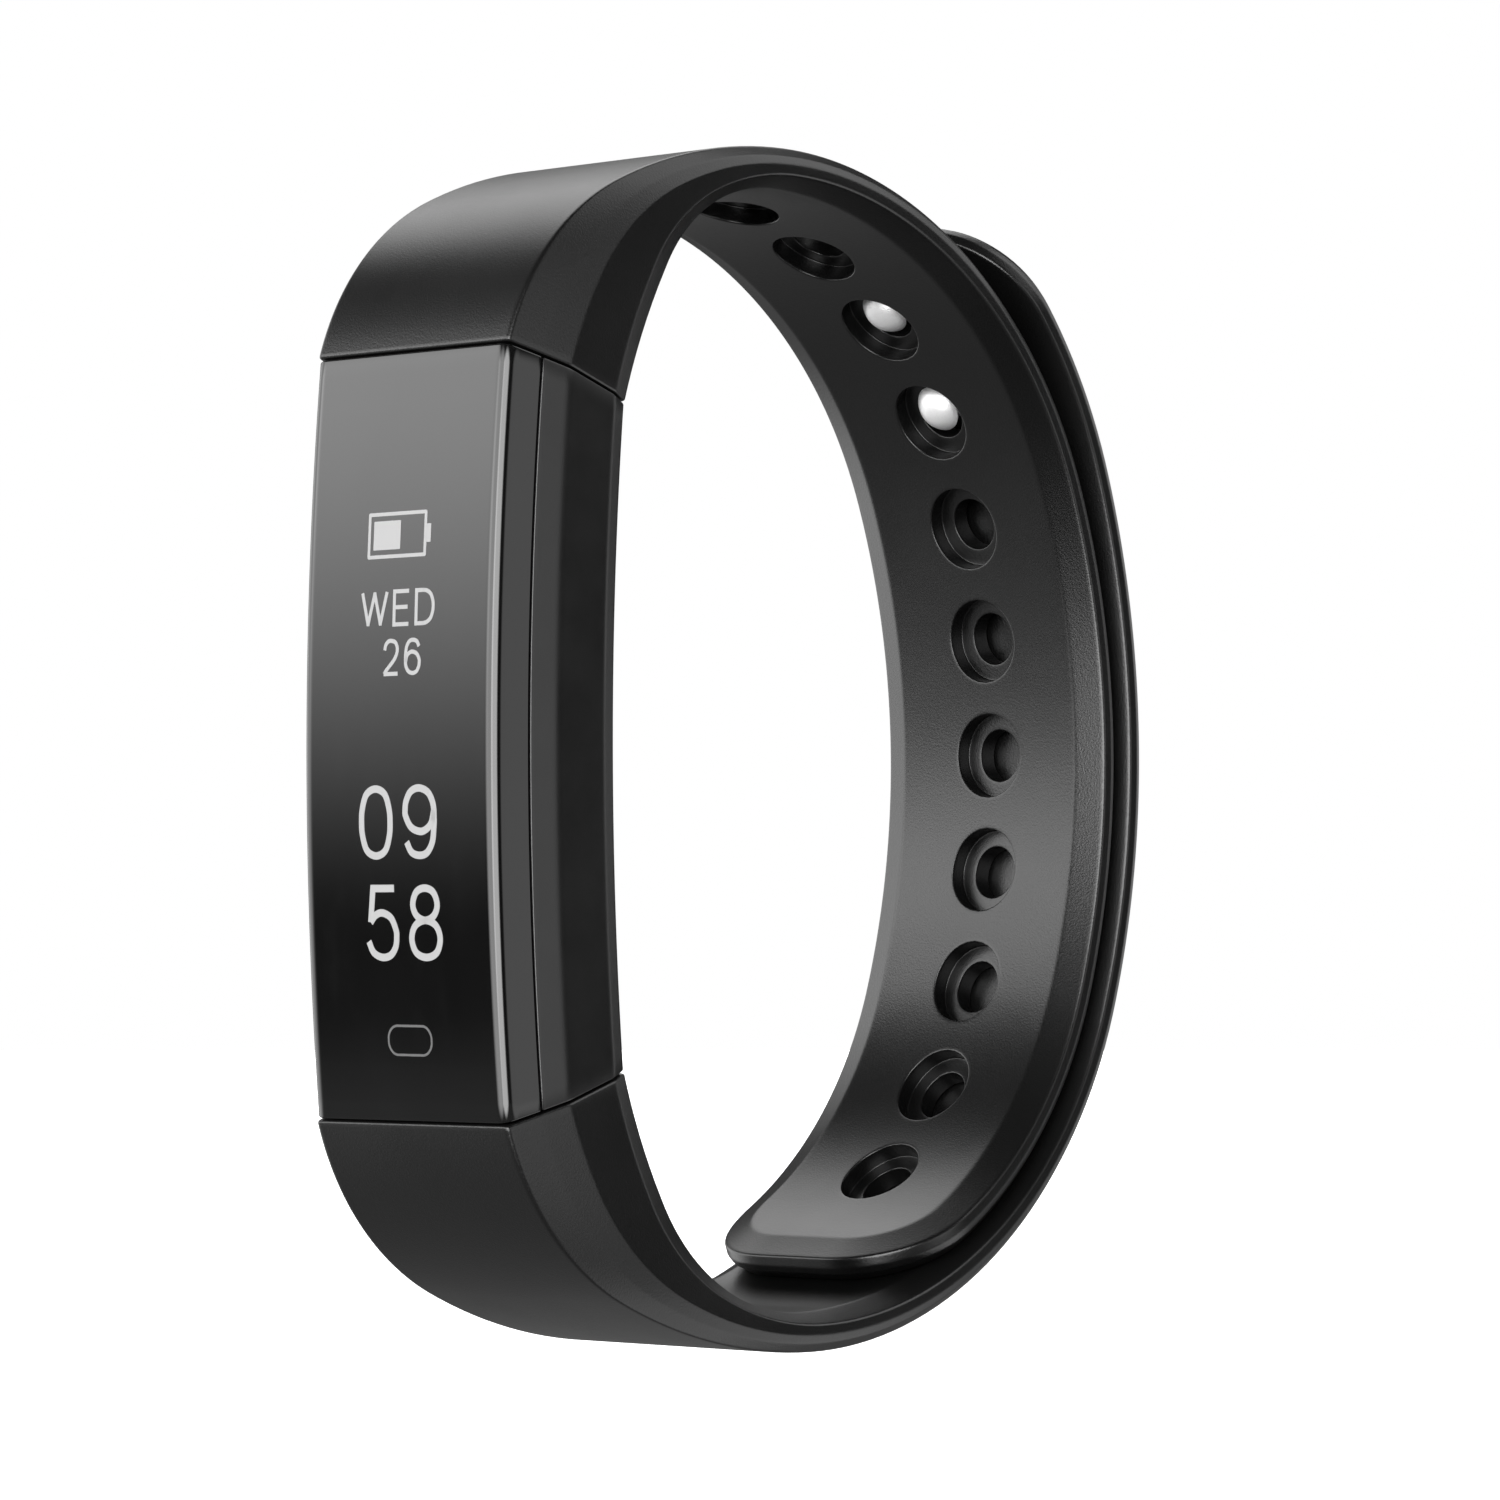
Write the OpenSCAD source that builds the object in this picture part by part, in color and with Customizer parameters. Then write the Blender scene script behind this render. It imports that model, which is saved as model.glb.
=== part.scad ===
// Fitness tracker band: a display module held in a loop by two soft straps.
// X runs across the band, the display faces -Y and Z runs along the display.
// The origin is the centre of the wrist opening.

/* [Band] */
// Widest width of the band
band_w = 17; // [16:0.5:18]
// Thickness of each strap where they overlap
strap_t = 2.2; // [2:0.1:2.4]
// Air between the two straps where they overlap
strap_gap = 0.12; // [0.1:0.02:0.3]
// Width of the seam between the module and each strap
seam_gap = 0.12; // [0.08:0.02:0.2]

/* [Loop] */
// Radius of the upper back of the loop, at the wrist
top_r = 24.5; // [23:0.1:26]
// Turn of the upper back of the loop, in degrees
top_a = 69; // [66:1:72]
// Radius of the middle of the back, at the wrist
back_r = 43.2; // [41:0.1:45]
// Turn of the middle of the back, in degrees
back_a = 39; // [37:1:41]
// Radius of the lower back of the loop, at the wrist
low_r = 22.5; // [21.5:0.1:23.5]

/* [Module] */
// Height of the module along its front, seam to seam
module_h = 41.4; // [40:0.2:43]
// Thickness of the module in its middle
module_t = 9.1; // [8.8:0.1:9.6]
// Turn of the band at each end of the module, in degrees
seam_h = 73; // [71:1:75]
// Thickness of the lens, as a share of the module's thickness
lens_share = 0.23; // [0.2:0.01:0.26]

/* [Clasp] */
// Number of holes in the hole strap
hole_count = 11; // [9:1:11]
// Spacing of the holes
hole_pitch = 6.8; // [6.6:0.1:6.9]
// Diameter of the through holes
hole_d = 3; // [2.9:0.1:3.2]
// Diameter of the counterbores on the wrist side
counterbore_d = 4.9; // [4.5:0.1:5.2]
// Depth of the counterbores
counterbore_t = 1; // [0.8:0.1:1.1]
// Diameter of the domed heads of the pegs
peg_d = 2.8; // [2.6:0.1:2.8]

/* [Charging tongue] */
// Width of the plug-in tongue
tongue_w = 12; // [11.6:0.1:12.2]
// Thickness of the plug-in tongue
tongue_t = 2.3; // [2.2:0.1:2.4]
// Length of the tongue outside the module
tongue_l = 10.5; // [9.5:0.1:10.6]

/* [Hidden] */
$fn = 64;

half_w = band_w / 2;
black = [0.12, 0.12, 0.13];
soft_black = [0.2, 0.2, 0.21];

// Cross-sections: half width, and depth as a share of the thickness, outside to wrist side
MODULE_HALF = [
    [half_w - 1, 0], [half_w - 0.5, lens_share], [half_w - 0.1, 0.43],
    [half_w - 0.5, 0.85], [half_w - 1.1, 1]
];
STRAP_HALF = [
    [half_w - 0.8, 0], [half_w - 0.2, 0.25], [half_w, 0.45],
    [half_w, 0.72], [half_w - 1.8, 1]
];

// Points and directions in the plane of the loop are [y, z]
crown = [-6.4, 30.8];
front_y = -28.5;
back_y = front_y + module_t;
seam_out = [-27.5, module_h / 2];
seam_depth = 9.3;

// Unit vector to the right of a heading, which is an angle from +Y towards +Z
function right(h) = [sin(h), -cos(h)];
// Unit vector along a heading
function ahead(h) = [cos(h), sin(h)];

seam_in = seam_out + seam_depth * right(seam_h);

// The clasp side of the loop, at the wrist: three tangent arcs turning right from the crown
low_a = 180 - top_a - back_a;
top_c = crown + top_r * right(0);
back_c = top_c + (back_r - top_r) * right(-top_a);
low_c = back_c + (low_r - back_r) * right(-top_a - back_a);
// Each arc: centre, radius, heading at its start, turn
ARCS = [
    [top_c, top_r, 0, top_a],
    [back_c, back_r, -top_a, back_a],
    [low_c, low_r, -top_a - back_a, low_a]
];
function arc_length(arc) = arc[1] * arc[3] * PI / 180;
// Distance from the crown to the start of arc i
function arc_start(i) = i == 0 ? 0 : arc_start(i - 1) + arc_length(ARCS[i - 1]);
// Arc that holds the point at distance s from the crown
function arc_at(s, i = 0) = i == len(ARCS) - 1 || s <= arc_start(i + 1) ? i : arc_at(s, i + 1);
// Turn of arc i from its start to distance s
function turn_at(s, i) = (s - arc_start(i)) / ARCS[i][1] * 180 / PI;
function heading_at(s) = let (i = arc_at(s)) ARCS[i][2] - turn_at(s, i);
function point_at(s) = let (i = arc_at(s)) ARCS[i][0] - ARCS[i][1] * right(heading_at(s));
loop_l = arc_start(2) + arc_length(ARCS[2]);

// Two tangent arcs from p, heading a, to e, heading 0, that meet at heading b
function biarc_radii(p, e, a, b) =
    let (u = right(a) - right(b), v = right(b) - right(0), d = e - p)
    [cross(d, v), cross(u, d)] / cross(u, v);
function biarc_point(p, e, a, b, h) =
    let (r = biarc_radii(p, e, a, b))
    h > b ? p + r[0] * (right(a) - right(h)) : e + r[1] * (right(0) - right(h));

outer_meet = 25;
inner_meet = 60;
// Ends of the two bends, the lower one drawn upside down
upper_out_end = crown + [0, strap_t];
lower_in_end = [low_c[0], low_r + strap_t + strap_gap - low_c[1]];
lower_out_end = lower_in_end + [0, strap_t];

// Places along the loop, as distances from the crown
first_hole = 4.15;
peg_holes = [2, 3];
function hole_s(i) = first_hole + i * hole_pitch;
latch_s0 = hole_s(peg_holes[0] - 0.5);
latch_s1 = hole_s(peg_holes[1] + 0.5);
hole_tip_s = 81;
peg_tip_s = hole_s(peg_holes[0]) - 3.4;
flex_s0 = arc_start(1);
flex_s1 = 47;
sleeve_h = 36;
tip_round = 5.9;

// Wrist side of the peg strap: towards its tip it is flatter than the loop and stands off it
peg_rise = strap_t + strap_gap;
flare = 0.0018;
function flatter(r) = 1 / (1 / r - flare);
flex_r = flatter(back_r + peg_rise);
tip_r = flatter(top_r + peg_rise);
flex_h = heading_at(flex_s1);
flex_turn = turn_at(flex_s1, 1) * (back_r + peg_rise) / flex_r;
flex_c = back_c + (flex_r - back_r - peg_rise) * right(flex_h);
tip_h = flex_h + flex_turn;
tip_c = flex_c + (tip_r - flex_r) * right(tip_h);
// Distance along the tip's arc from its start to the place beside s on the loop
function tip_d(s) = (flex_s0 - s) * (top_r + peg_rise) / top_r;
// The pegs pull against the upper sides of their holes
peg_slack = 0.35;
function peg_s(i) = hole_s(i) - peg_slack;

// The module's interior
cavity_x = 6.9;
cavity_z = 17;
cavity_y0 = back_y - 1;
recess_x = 6.3;
recess_y = front_y + 1.2;
panel_t = 1.1;
chassis_x = 6.8;
chassis_z = 15.9;
chassis_y = -25.4;
web_y = -23.8;
web_t = 0.4;
board_t = 0.8;
board_y = web_y - web_t - board_t;
post_x = 5.4;
post_z = 14.6;
screw_head_r = 0.68;
motor_y = -22.1;
motor_z = -11.2;
motor_r = 1.68;
shaft_r = 0.3;
tongue_in = 2.4;
tongue_y0 = 5.75;
plain_l = 8.5;
socket_clear = 0.1;
seal_t = 0.5;
seal_w = 0.55;
plate_t = 0.6;
// Depth of the peg plate inside the peg strap, and height of the necks above the wrist line
plate_in = 0.8;
neck_top = 4.1;
neck_d = 2.2;

// Turns a shape drawn in the plane of the loop so that its height runs along X
module across() {
    rotate(120, [1, 1, 1]) children();
}

// Places a shape at distance s from the crown: X across, Y along the strap, Z outwards
module on_loop(s) {
    p = point_at(s);
    translate([0, p[0], p[1]]) rotate([heading_at(s), 0, 0]) children();
}

// Places a shape at the upper seam: X across, Y inwards through the band, Z along the strap
module at_seam() {
    translate([0, seam_out[0], seam_out[1]]) rotate([seam_h - 90, 0, 0]) children();
}

module upside_down() {
    mirror([0, 0, 1]) children();
}

// Closed outline of a half section
function whole(half) =
    concat(half, [for (i = [len(half) - 1:-1:0]) [-half[i][0], half[i][1]]]);

// Part of a half section between two depth shares, with its corners worked out
function slice(half, d0, d1) =
    concat([[width_at(half, d0), d0]],
           [for (q = half) if (q[1] > d0 && q[1] < d1) q],
           [[width_at(half, d1), d1]]);
function width_at(half, d) = lookup(d, [for (q = half) [q[1], q[0]]]);

// Ring of points on a section whose outside is at po and whose wrist side is at pi
function ring(po, pi, section) =
    [for (q = section) let (p = po + q[1] * (pi - po)) [q[0], p[0], p[1]]];

// Solid through a list of rings with the same number of points
module loft(rings) {
    n = len(rings[0]);
    m = len(rings);
    points = [for (r = rings) for (p = r) p];
    sides = [for (j = [0:m - 2]) for (i = [0:n - 1])
        let (a = j * n + i, b = j * n + (i + 1) % n)
        each [[a, b + n, b], [a, a + n, b + n]]];
    caps = [[for (i = [0:n - 1]) i], [for (i = [n - 1:-1:0]) (m - 1) * n + i]];
    polyhedron(points, concat(sides, caps));
}

// Length of the module between two depth shares
module module_slab(d0, d1, steps = 10) {
    sag_out = seam_out[0] - front_y;
    sag_in = seam_in[0] - back_y;
    section = whole(slice(MODULE_HALF, d0, d1));
    loft([for (k = [-steps:2:steps])
        let (v = k / steps,
             po = [front_y + sag_out * v * v, v * seam_out[1]],
             pi = [back_y + sag_in * v * v, v * seam_in[1]])
        ring(po, pi, section)]);
}

// Tapered strap from heading h0 down to heading h1; ends are the strap's outer and inner ends
module taper(out_end, in_end, h0, h1, steps) {
    loft([for (k = [0:steps])
        let (h = h0 + (h1 - h0) * k / steps,
             share = 1 - h / seam_h,
             gap = h == seam_h ? seam_gap * ahead(seam_h) : [0, 0],
             po = gap + biarc_point(seam_out, out_end, seam_h, outer_meet, h),
             pi = gap + biarc_point(seam_in, in_end, seam_h, inner_meet, h),
             half = MODULE_HALF + share * (STRAP_HALF - MODULE_HALF))
        ring(po, pi, whole(half))]);
}

// Even strap on one arc of centre c and wrist radius r that turns right to heading h
module arc_strap(c, r, h, turn) {
    across() translate([c[0], c[1]]) rotate_extrude(start = 90 + h, angle = turn, $fn = 180)
        polygon([for (q = whole(STRAP_HALF)) [r + strap_t * (1 - q[1]), q[0]]]);
}

// Even strap from distance s0 to s1, raised above the wrist line
module strap(s0, s1, rise = 0) {
    for (i = [0:2]) {
        a = max(s0, arc_start(i));
        b = min(s1, arc_start(i) + arc_length(ARCS[i]));
        if (b > a) arc_strap(ARCS[i][0], ARCS[i][1] + rise, ARCS[i][2] - turn_at(b, i),
                             turn_at(b, i) - turn_at(a, i));
    }
}

// What is cut off to round the end of a strap that runs towards +Y and ends at reach.
// The corner circles cross the strap's sides at a small angle, so that no face is tangent.
module tip_cutter(reach) {
    centre = half_w - tip_round + 0.15;
    linear_extrude(14, center = true) difference() {
        translate([-half_w - 1, reach - tip_round]) square([band_w + 2, tip_round + 4]);
        translate([-centre, reach - tip_round - 1]) square([2 * centre, tip_round + 1]);
        for (x = [-centre, centre]) translate([x, reach - tip_round]) circle(tip_round);
    }
}

// Through hole and counterbore number i
module hole(i) {
    on_loop(hole_s(i)) {
        translate([0, 0, -1]) cylinder(d = hole_d, h = strap_t + 2);
        translate([0, 0, -1]) cylinder(d = counterbore_d, h = 1 + counterbore_t);
    }
}

// Holes whose centres lie between s0 and s1
module holes(s0, s1) {
    for (i = [0:hole_count - 1])
        if (hole_s(i) > s0 && hole_s(i) < s1) hole(i);
}

// Box between two corners
module block(lo, hi) {
    translate(lo) cube(hi - lo);
}

// Tongue in the seam's frame
module tongue(l, grow = 0, into = tongue_in) {
    block([-tongue_w / 2 - grow, tongue_y0 - grow, -into],
          [tongue_w / 2 + grow, tongue_y0 + tongue_t + grow, l]);
}

// Socket for a tongue, with room for the contacts on its outer side
module socket(l) {
    at_seam() block([-tongue_w / 2 - socket_clear, tongue_y0 - 0.3, -1],
                    [tongue_w / 2 + socket_clear, tongue_y0 + tongue_t + socket_clear, l + 0.3]);
}

module seal_space() {
    at_seam() tongue(-0.001, seal_w, seal_t);
}

module seal() {
    color("dimgray") difference() {
        seal_space();
        at_seam() tongue(1, 0, 2);
    }
}

module display_lens() {
    color(black) difference() {
        module_slab(0, lens_share);
        block([-recess_x, recess_y, -cavity_z], [recess_x, front_y + 4, cavity_z]);
    }
}

module lens_gasket() {
    color("dimgray") intersection() {
        difference() {
            module_slab(lens_share, lens_share + 0.015);
            block([-cavity_x, front_y, -cavity_z], [cavity_x, back_y, cavity_z]);
        }
        block([-half_w + 0.9, front_y, -cavity_z - 0.8], [half_w - 0.9, back_y, cavity_z + 0.8]);
    }
}

module oled_panel() {
    color("black") block([-5.2, recess_y, -13.6], [5.2, recess_y + panel_t, 16.2]);
}

module display_flex() {
    back = recess_y + panel_t;
    r = (board_y - back) / 2;
    color("orange") across() {
        translate([back, -13.4, -2.5]) cube([0.2, 2.4, 5]);
        translate([board_y - 0.2, -13.4, -2.5]) cube([0.2, 2.4, 5]);
        translate([back + r, -13.4, -2.5]) linear_extrude(5) difference() {
            circle(r);
            circle(r - 0.2);
            translate([-r - 1, 0]) square([2 * r + 2, r + 1]);
        }
    }
}

module touch_pad() {
    color("gold") block([-3, recess_y, -16.6], [3, recess_y + 0.2, -14]);
}

module module_shell() {
    color(black) {
        difference() {
            module_slab(lens_share + 0.015, 1);
            block([-cavity_x, front_y, -cavity_z], [cavity_x, cavity_y0, cavity_z]);
            at_seam() tongue(1, 0, 6);
            seal_space();
            upside_down() {
                at_seam() tongue(1, 0, 6);
                seal_space();
            }
        }
        for (x = [-1, 1], z = [-1, 1])
            translate([x * post_x, cavity_y0, z * post_z]) rotate([90, 0, 0]) difference() {
                cylinder(r = 1, h = cavity_y0 - web_y);
                translate([0, 0, 1]) cylinder(r = 0.4, h = 4);
            }
    }
}

module chassis() {
    color("silver") difference() {
        block([-chassis_x, chassis_y, -chassis_z], [chassis_x, cavity_y0, chassis_z]);
        block([-chassis_x + 0.6, chassis_y - 1, -chassis_z + 0.6],
              [chassis_x - 0.6, web_y - web_t, chassis_z - 0.6]);
        block([-chassis_x + 0.4, web_y, -chassis_z + 0.3],
              [chassis_x - 0.4, cavity_y0 + 1, chassis_z - 0.3]);
        for (x = [-1, 1], z = [-1, 1])
            translate([x * post_x, 0, z * post_z]) rotate([90, 0, 0]) cylinder(r = 0.45, h = 40);
    }
}

module chassis_screws() {
    color("lightgray") for (x = [-1, 1], z = [-1, 1])
        translate([x * post_x, web_y - web_t, z * post_z]) rotate([90, 0, 0]) {
            cylinder(r = screw_head_r, h = 0.5);
            translate([0, 0, -2.2]) cylinder(r = 0.4, h = 2.2);
        }
}

module main_board() {
    color("darkgreen") block([-5.9, board_y, -13.2], [5.9, board_y + board_t, 13.2]);
}

// Chip on the front of the board, centred at x and z
module chip(x, z, w, l, t) {
    color("black") block([x - w / 2, board_y - t, z - l / 2], [x + w / 2, board_y, z + l / 2]);
}

module radio_chip() {
    chip(0, 2, 5, 5, 0.7);
}

module motion_chip() {
    chip(-3.4, -5.5, 2, 2, 0.6);
}

module charge_chip() {
    chip(3, 9.5, 3, 3, 0.7);
}

module antenna() {
    color("gold") block([-5.4, board_y - 0.4, 11.6], [1.4, board_y, 12.8]);
}

module battery() {
    color("gainsboro") translate([0, cavity_y0 - 0.4, 2.5]) rotate([90, 0, 0])
        linear_extrude(2.8) {
            square([10, 20.2], center = true);
            square([8.8, 21], center = true);
        }
}

module battery_pad() {
    color("gray") block([-4, cavity_y0 - 0.4, -5], [4, cavity_y0, 10]);
}

// Places a shape on the motor's axis, with its height along X
module on_motor(x) {
    translate([x, motor_y, motor_z]) rotate([0, 90, 0]) children();
}

module motor_can() {
    color("silver") on_motor(-5.6) difference() {
        cylinder(r = motor_r, h = 5.2);
        translate([0, 0, 0.6]) cylinder(r = shaft_r + 0.03, h = 6);
    }
}

module motor_shaft() {
    color("lightgray") on_motor(-4.9) cylinder(r = shaft_r, h = 9.5);
}

module motor_weight() {
    color("dimgray") on_motor(0.6) difference() {
        cylinder(r = 1.5, h = 3.6);
        translate([0, 0, -1]) cylinder(r = shaft_r, h = 6);
        translate([-2, shaft_r + 0.25, -1]) cube([4, 2, 6]);
    }
}

module charging_tongue() {
    color("darkgreen") at_seam() tongue(tongue_l);
}

module charging_contacts() {
    color("gold") at_seam() for (x = [-3.5, -1, 1, 3.5])
        block([x - 0.6, tongue_y0 - 0.12, 2.5], [x + 0.6, tongue_y0, tongue_l - 0.8]);
}

module plain_tongue() {
    color(black) upside_down() at_seam() tongue(plain_l);
}

module upper_seal() {
    seal();
}

module lower_seal() {
    upside_down() seal();
}

module hole_strap_sleeve() {
    color(soft_black) difference() {
        taper(upper_out_end, crown, seam_h, sleeve_h, 10);
        socket(tongue_l);
    }
}

module hole_strap_bend() {
    color(soft_black) difference() {
        taper(upper_out_end, crown, sleeve_h, 0, 10);
        socket(tongue_l);
    }
}

module hole_strap_top() {
    color(soft_black) difference() {
        strap(0, latch_s0);
        holes(0, latch_s0);
    }
}

module hole_strap_latch() {
    color(soft_black) difference() {
        strap(latch_s0, latch_s1);
        holes(latch_s0, latch_s1);
    }
}

module hole_strap_tail() {
    color(soft_black) difference() {
        strap(latch_s1, hole_tip_s + 1);
        holes(latch_s1, hole_tip_s);
        on_loop(hole_tip_s - 8) tip_cutter(8);
    }
}

module peg_strap_sleeve() {
    color(soft_black) upside_down() difference() {
        taper(lower_out_end, lower_in_end, seam_h, sleeve_h, 10);
        socket(plain_l);
    }
}

module peg_strap_bend() {
    color(soft_black) upside_down() taper(lower_out_end, lower_in_end, sleeve_h, 0, 10);
}

module peg_strap_back() {
    color(soft_black) strap(flex_s1, loop_l, peg_rise);
}

module peg_strap_flex() {
    color(soft_black) arc_strap(flex_c, flex_r, flex_h, flex_turn);
}

// Turn of the tip's arc over distance d
function tip_turn(d) = d / tip_r * 180 / PI;

// Places a shape on the tip's arc, at distance d from its start
module on_tip(d) {
    h = tip_h + tip_turn(d);
    p = tip_c - tip_r * right(h);
    translate([0, p[0], p[1]]) rotate([h, 0, 0]) children();
}

// The curved plate moulded into the tip, which carries both pegs
module plate_solid() {
    d0 = tip_d(peg_s(peg_holes[1]) + 2.4);
    d1 = tip_d(peg_s(peg_holes[0]) - 2.4);
    across() translate([tip_c[0], tip_c[1], -2.6])
        rotate_extrude(start = 90 + tip_h + tip_turn(d0), angle = tip_turn(d1 - d0), $fn = 180)
            translate([tip_r + plate_in, 0]) square([plate_t, 5.2]);
}

module peg_necks(d) {
    for (i = peg_holes) on_loop(peg_s(i))
        translate([0, 0, counterbore_t - 0.3]) cylinder(d = d, h = neck_top - counterbore_t + 0.3);
}

module peg_strap_tip() {
    color(soft_black) difference() {
        arc_strap(tip_c, tip_r, tip_h, tip_turn(tip_d(peg_tip_s - 1)));
        on_tip(tip_d(peg_tip_s) - 8) rotate(180) tip_cutter(8);
        plate_solid();
        peg_necks(neck_d);
    }
}

module peg_plate() {
    color("silver") difference() {
        plate_solid();
        peg_necks(neck_d);
    }
}

// Each peg: a neck through the holes and a low domed head inside the counterbore
module clasp_pegs() {
    head_t = counterbore_t - 0.15;
    dome_r = (peg_d * peg_d / 4 + head_t * head_t) / (2 * head_t);
    color("silver") {
        peg_necks(neck_d);
        for (i = peg_holes) on_loop(peg_s(i)) translate([0, 0, counterbore_t]) intersection() {
            translate([0, 0, -head_t + dome_r]) sphere(dome_r);
            mirror([0, 0, 1]) cylinder(d = peg_d, h = head_t);
        }
    }
}

display_lens();
lens_gasket();
oled_panel();
display_flex();
touch_pad();
module_shell();
chassis();
chassis_screws();
main_board();
radio_chip();
motion_chip();
charge_chip();
antenna();
battery();
battery_pad();
motor_can();
motor_shaft();
motor_weight();
charging_tongue();
charging_contacts();
plain_tongue();
upper_seal();
lower_seal();
hole_strap_sleeve();
hole_strap_bend();
hole_strap_top();
hole_strap_latch();
hole_strap_tail();
peg_strap_sleeve();
peg_strap_bend();
peg_strap_back();
peg_strap_flex();
peg_strap_tip();
peg_plate();
clasp_pegs();
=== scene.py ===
"""Looks of a fitness tracker band: a display module held in a loop by two soft straps.

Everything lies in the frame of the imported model: X runs across the band, the display faces
-Y, Z runs along the display, and the origin is the centre of the wrist opening. Sizes are
in millimetres and become metres when a mesh is made. Most shapes are drawn in the plane of
the loop as [y, z] points and carried across the band.
"""

import logging
import math
from dataclasses import dataclass
from enum import Enum
from typing import Any, Callable

import bmesh
import bpy
import numpy as np
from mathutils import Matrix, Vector


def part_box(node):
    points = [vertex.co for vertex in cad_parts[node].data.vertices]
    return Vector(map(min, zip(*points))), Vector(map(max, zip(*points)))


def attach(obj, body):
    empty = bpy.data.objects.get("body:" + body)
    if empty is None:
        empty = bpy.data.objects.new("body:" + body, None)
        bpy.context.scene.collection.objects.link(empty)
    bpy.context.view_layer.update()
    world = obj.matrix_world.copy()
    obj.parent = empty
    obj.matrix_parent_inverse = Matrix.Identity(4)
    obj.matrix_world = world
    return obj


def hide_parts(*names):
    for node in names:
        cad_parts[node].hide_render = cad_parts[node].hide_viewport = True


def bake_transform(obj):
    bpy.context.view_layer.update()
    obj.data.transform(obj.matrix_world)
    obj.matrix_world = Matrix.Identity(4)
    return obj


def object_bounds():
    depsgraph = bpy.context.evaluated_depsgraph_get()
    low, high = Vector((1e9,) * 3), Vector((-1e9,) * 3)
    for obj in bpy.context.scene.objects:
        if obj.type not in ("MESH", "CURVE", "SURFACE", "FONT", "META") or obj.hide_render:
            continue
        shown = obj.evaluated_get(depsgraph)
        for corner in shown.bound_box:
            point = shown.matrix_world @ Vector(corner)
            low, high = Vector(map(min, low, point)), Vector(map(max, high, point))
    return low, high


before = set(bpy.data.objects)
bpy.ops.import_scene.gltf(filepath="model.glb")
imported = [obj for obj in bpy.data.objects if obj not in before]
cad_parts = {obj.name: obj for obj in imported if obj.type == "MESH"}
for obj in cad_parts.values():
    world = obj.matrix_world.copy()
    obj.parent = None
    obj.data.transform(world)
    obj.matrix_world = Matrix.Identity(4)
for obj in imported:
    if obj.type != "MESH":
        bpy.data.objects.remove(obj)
CAD_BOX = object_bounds()

LOG = logging.getLogger("tracker_band")
MM = 0.001
Array = np.ndarray
Colour = tuple[float, float, float, float]


def grey(value: float, warmth: float = 0.0) -> Colour:
    """A grey of that brightness, a little warmer or cooler."""
    return (value * (1 + warmth), value, value * (1 - warmth), 1.0)


def shaded(colour: Colour, factor: float) -> Colour:
    """The same colour, darker or brighter by a factor."""
    return tuple(factor * channel for channel in colour[:3]) + (1.0,)


# ---------------------------------------------------------------- shader sockets


class Wire:
    """An output socket that can stand in sums, products and powers."""

    def __init__(self, graph: "Graph", socket: bpy.types.NodeSocket | None) -> None:
        """Keeps the graph that the socket belongs to; a closing node has no output socket."""
        self.graph = graph
        self.socket = socket

    def _math(self, operation: str, first: Any, second: Any) -> "Wire":
        """A Math node on two values, either of which may be a number."""
        return self.graph.node("ShaderNodeMath", {"operation": operation}, {0: first, 1: second})

    def __add__(self, other: Any) -> "Wire":
        """self + other."""
        return self._math("ADD", self, other)

    def __radd__(self, other: Any) -> "Wire":
        """other + self."""
        return self._math("ADD", other, self)

    def __sub__(self, other: Any) -> "Wire":
        """self - other."""
        return self._math("SUBTRACT", self, other)

    def __rsub__(self, other: Any) -> "Wire":
        """other - self."""
        return self._math("SUBTRACT", other, self)

    def __mul__(self, other: Any) -> "Wire":
        """self * other."""
        return self._math("MULTIPLY", self, other)

    def __rmul__(self, other: Any) -> "Wire":
        """other * self."""
        return self._math("MULTIPLY", other, self)

    def __pow__(self, other: Any) -> "Wire":
        """self to the power of other."""
        return self._math("POWER", self, other)


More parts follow.
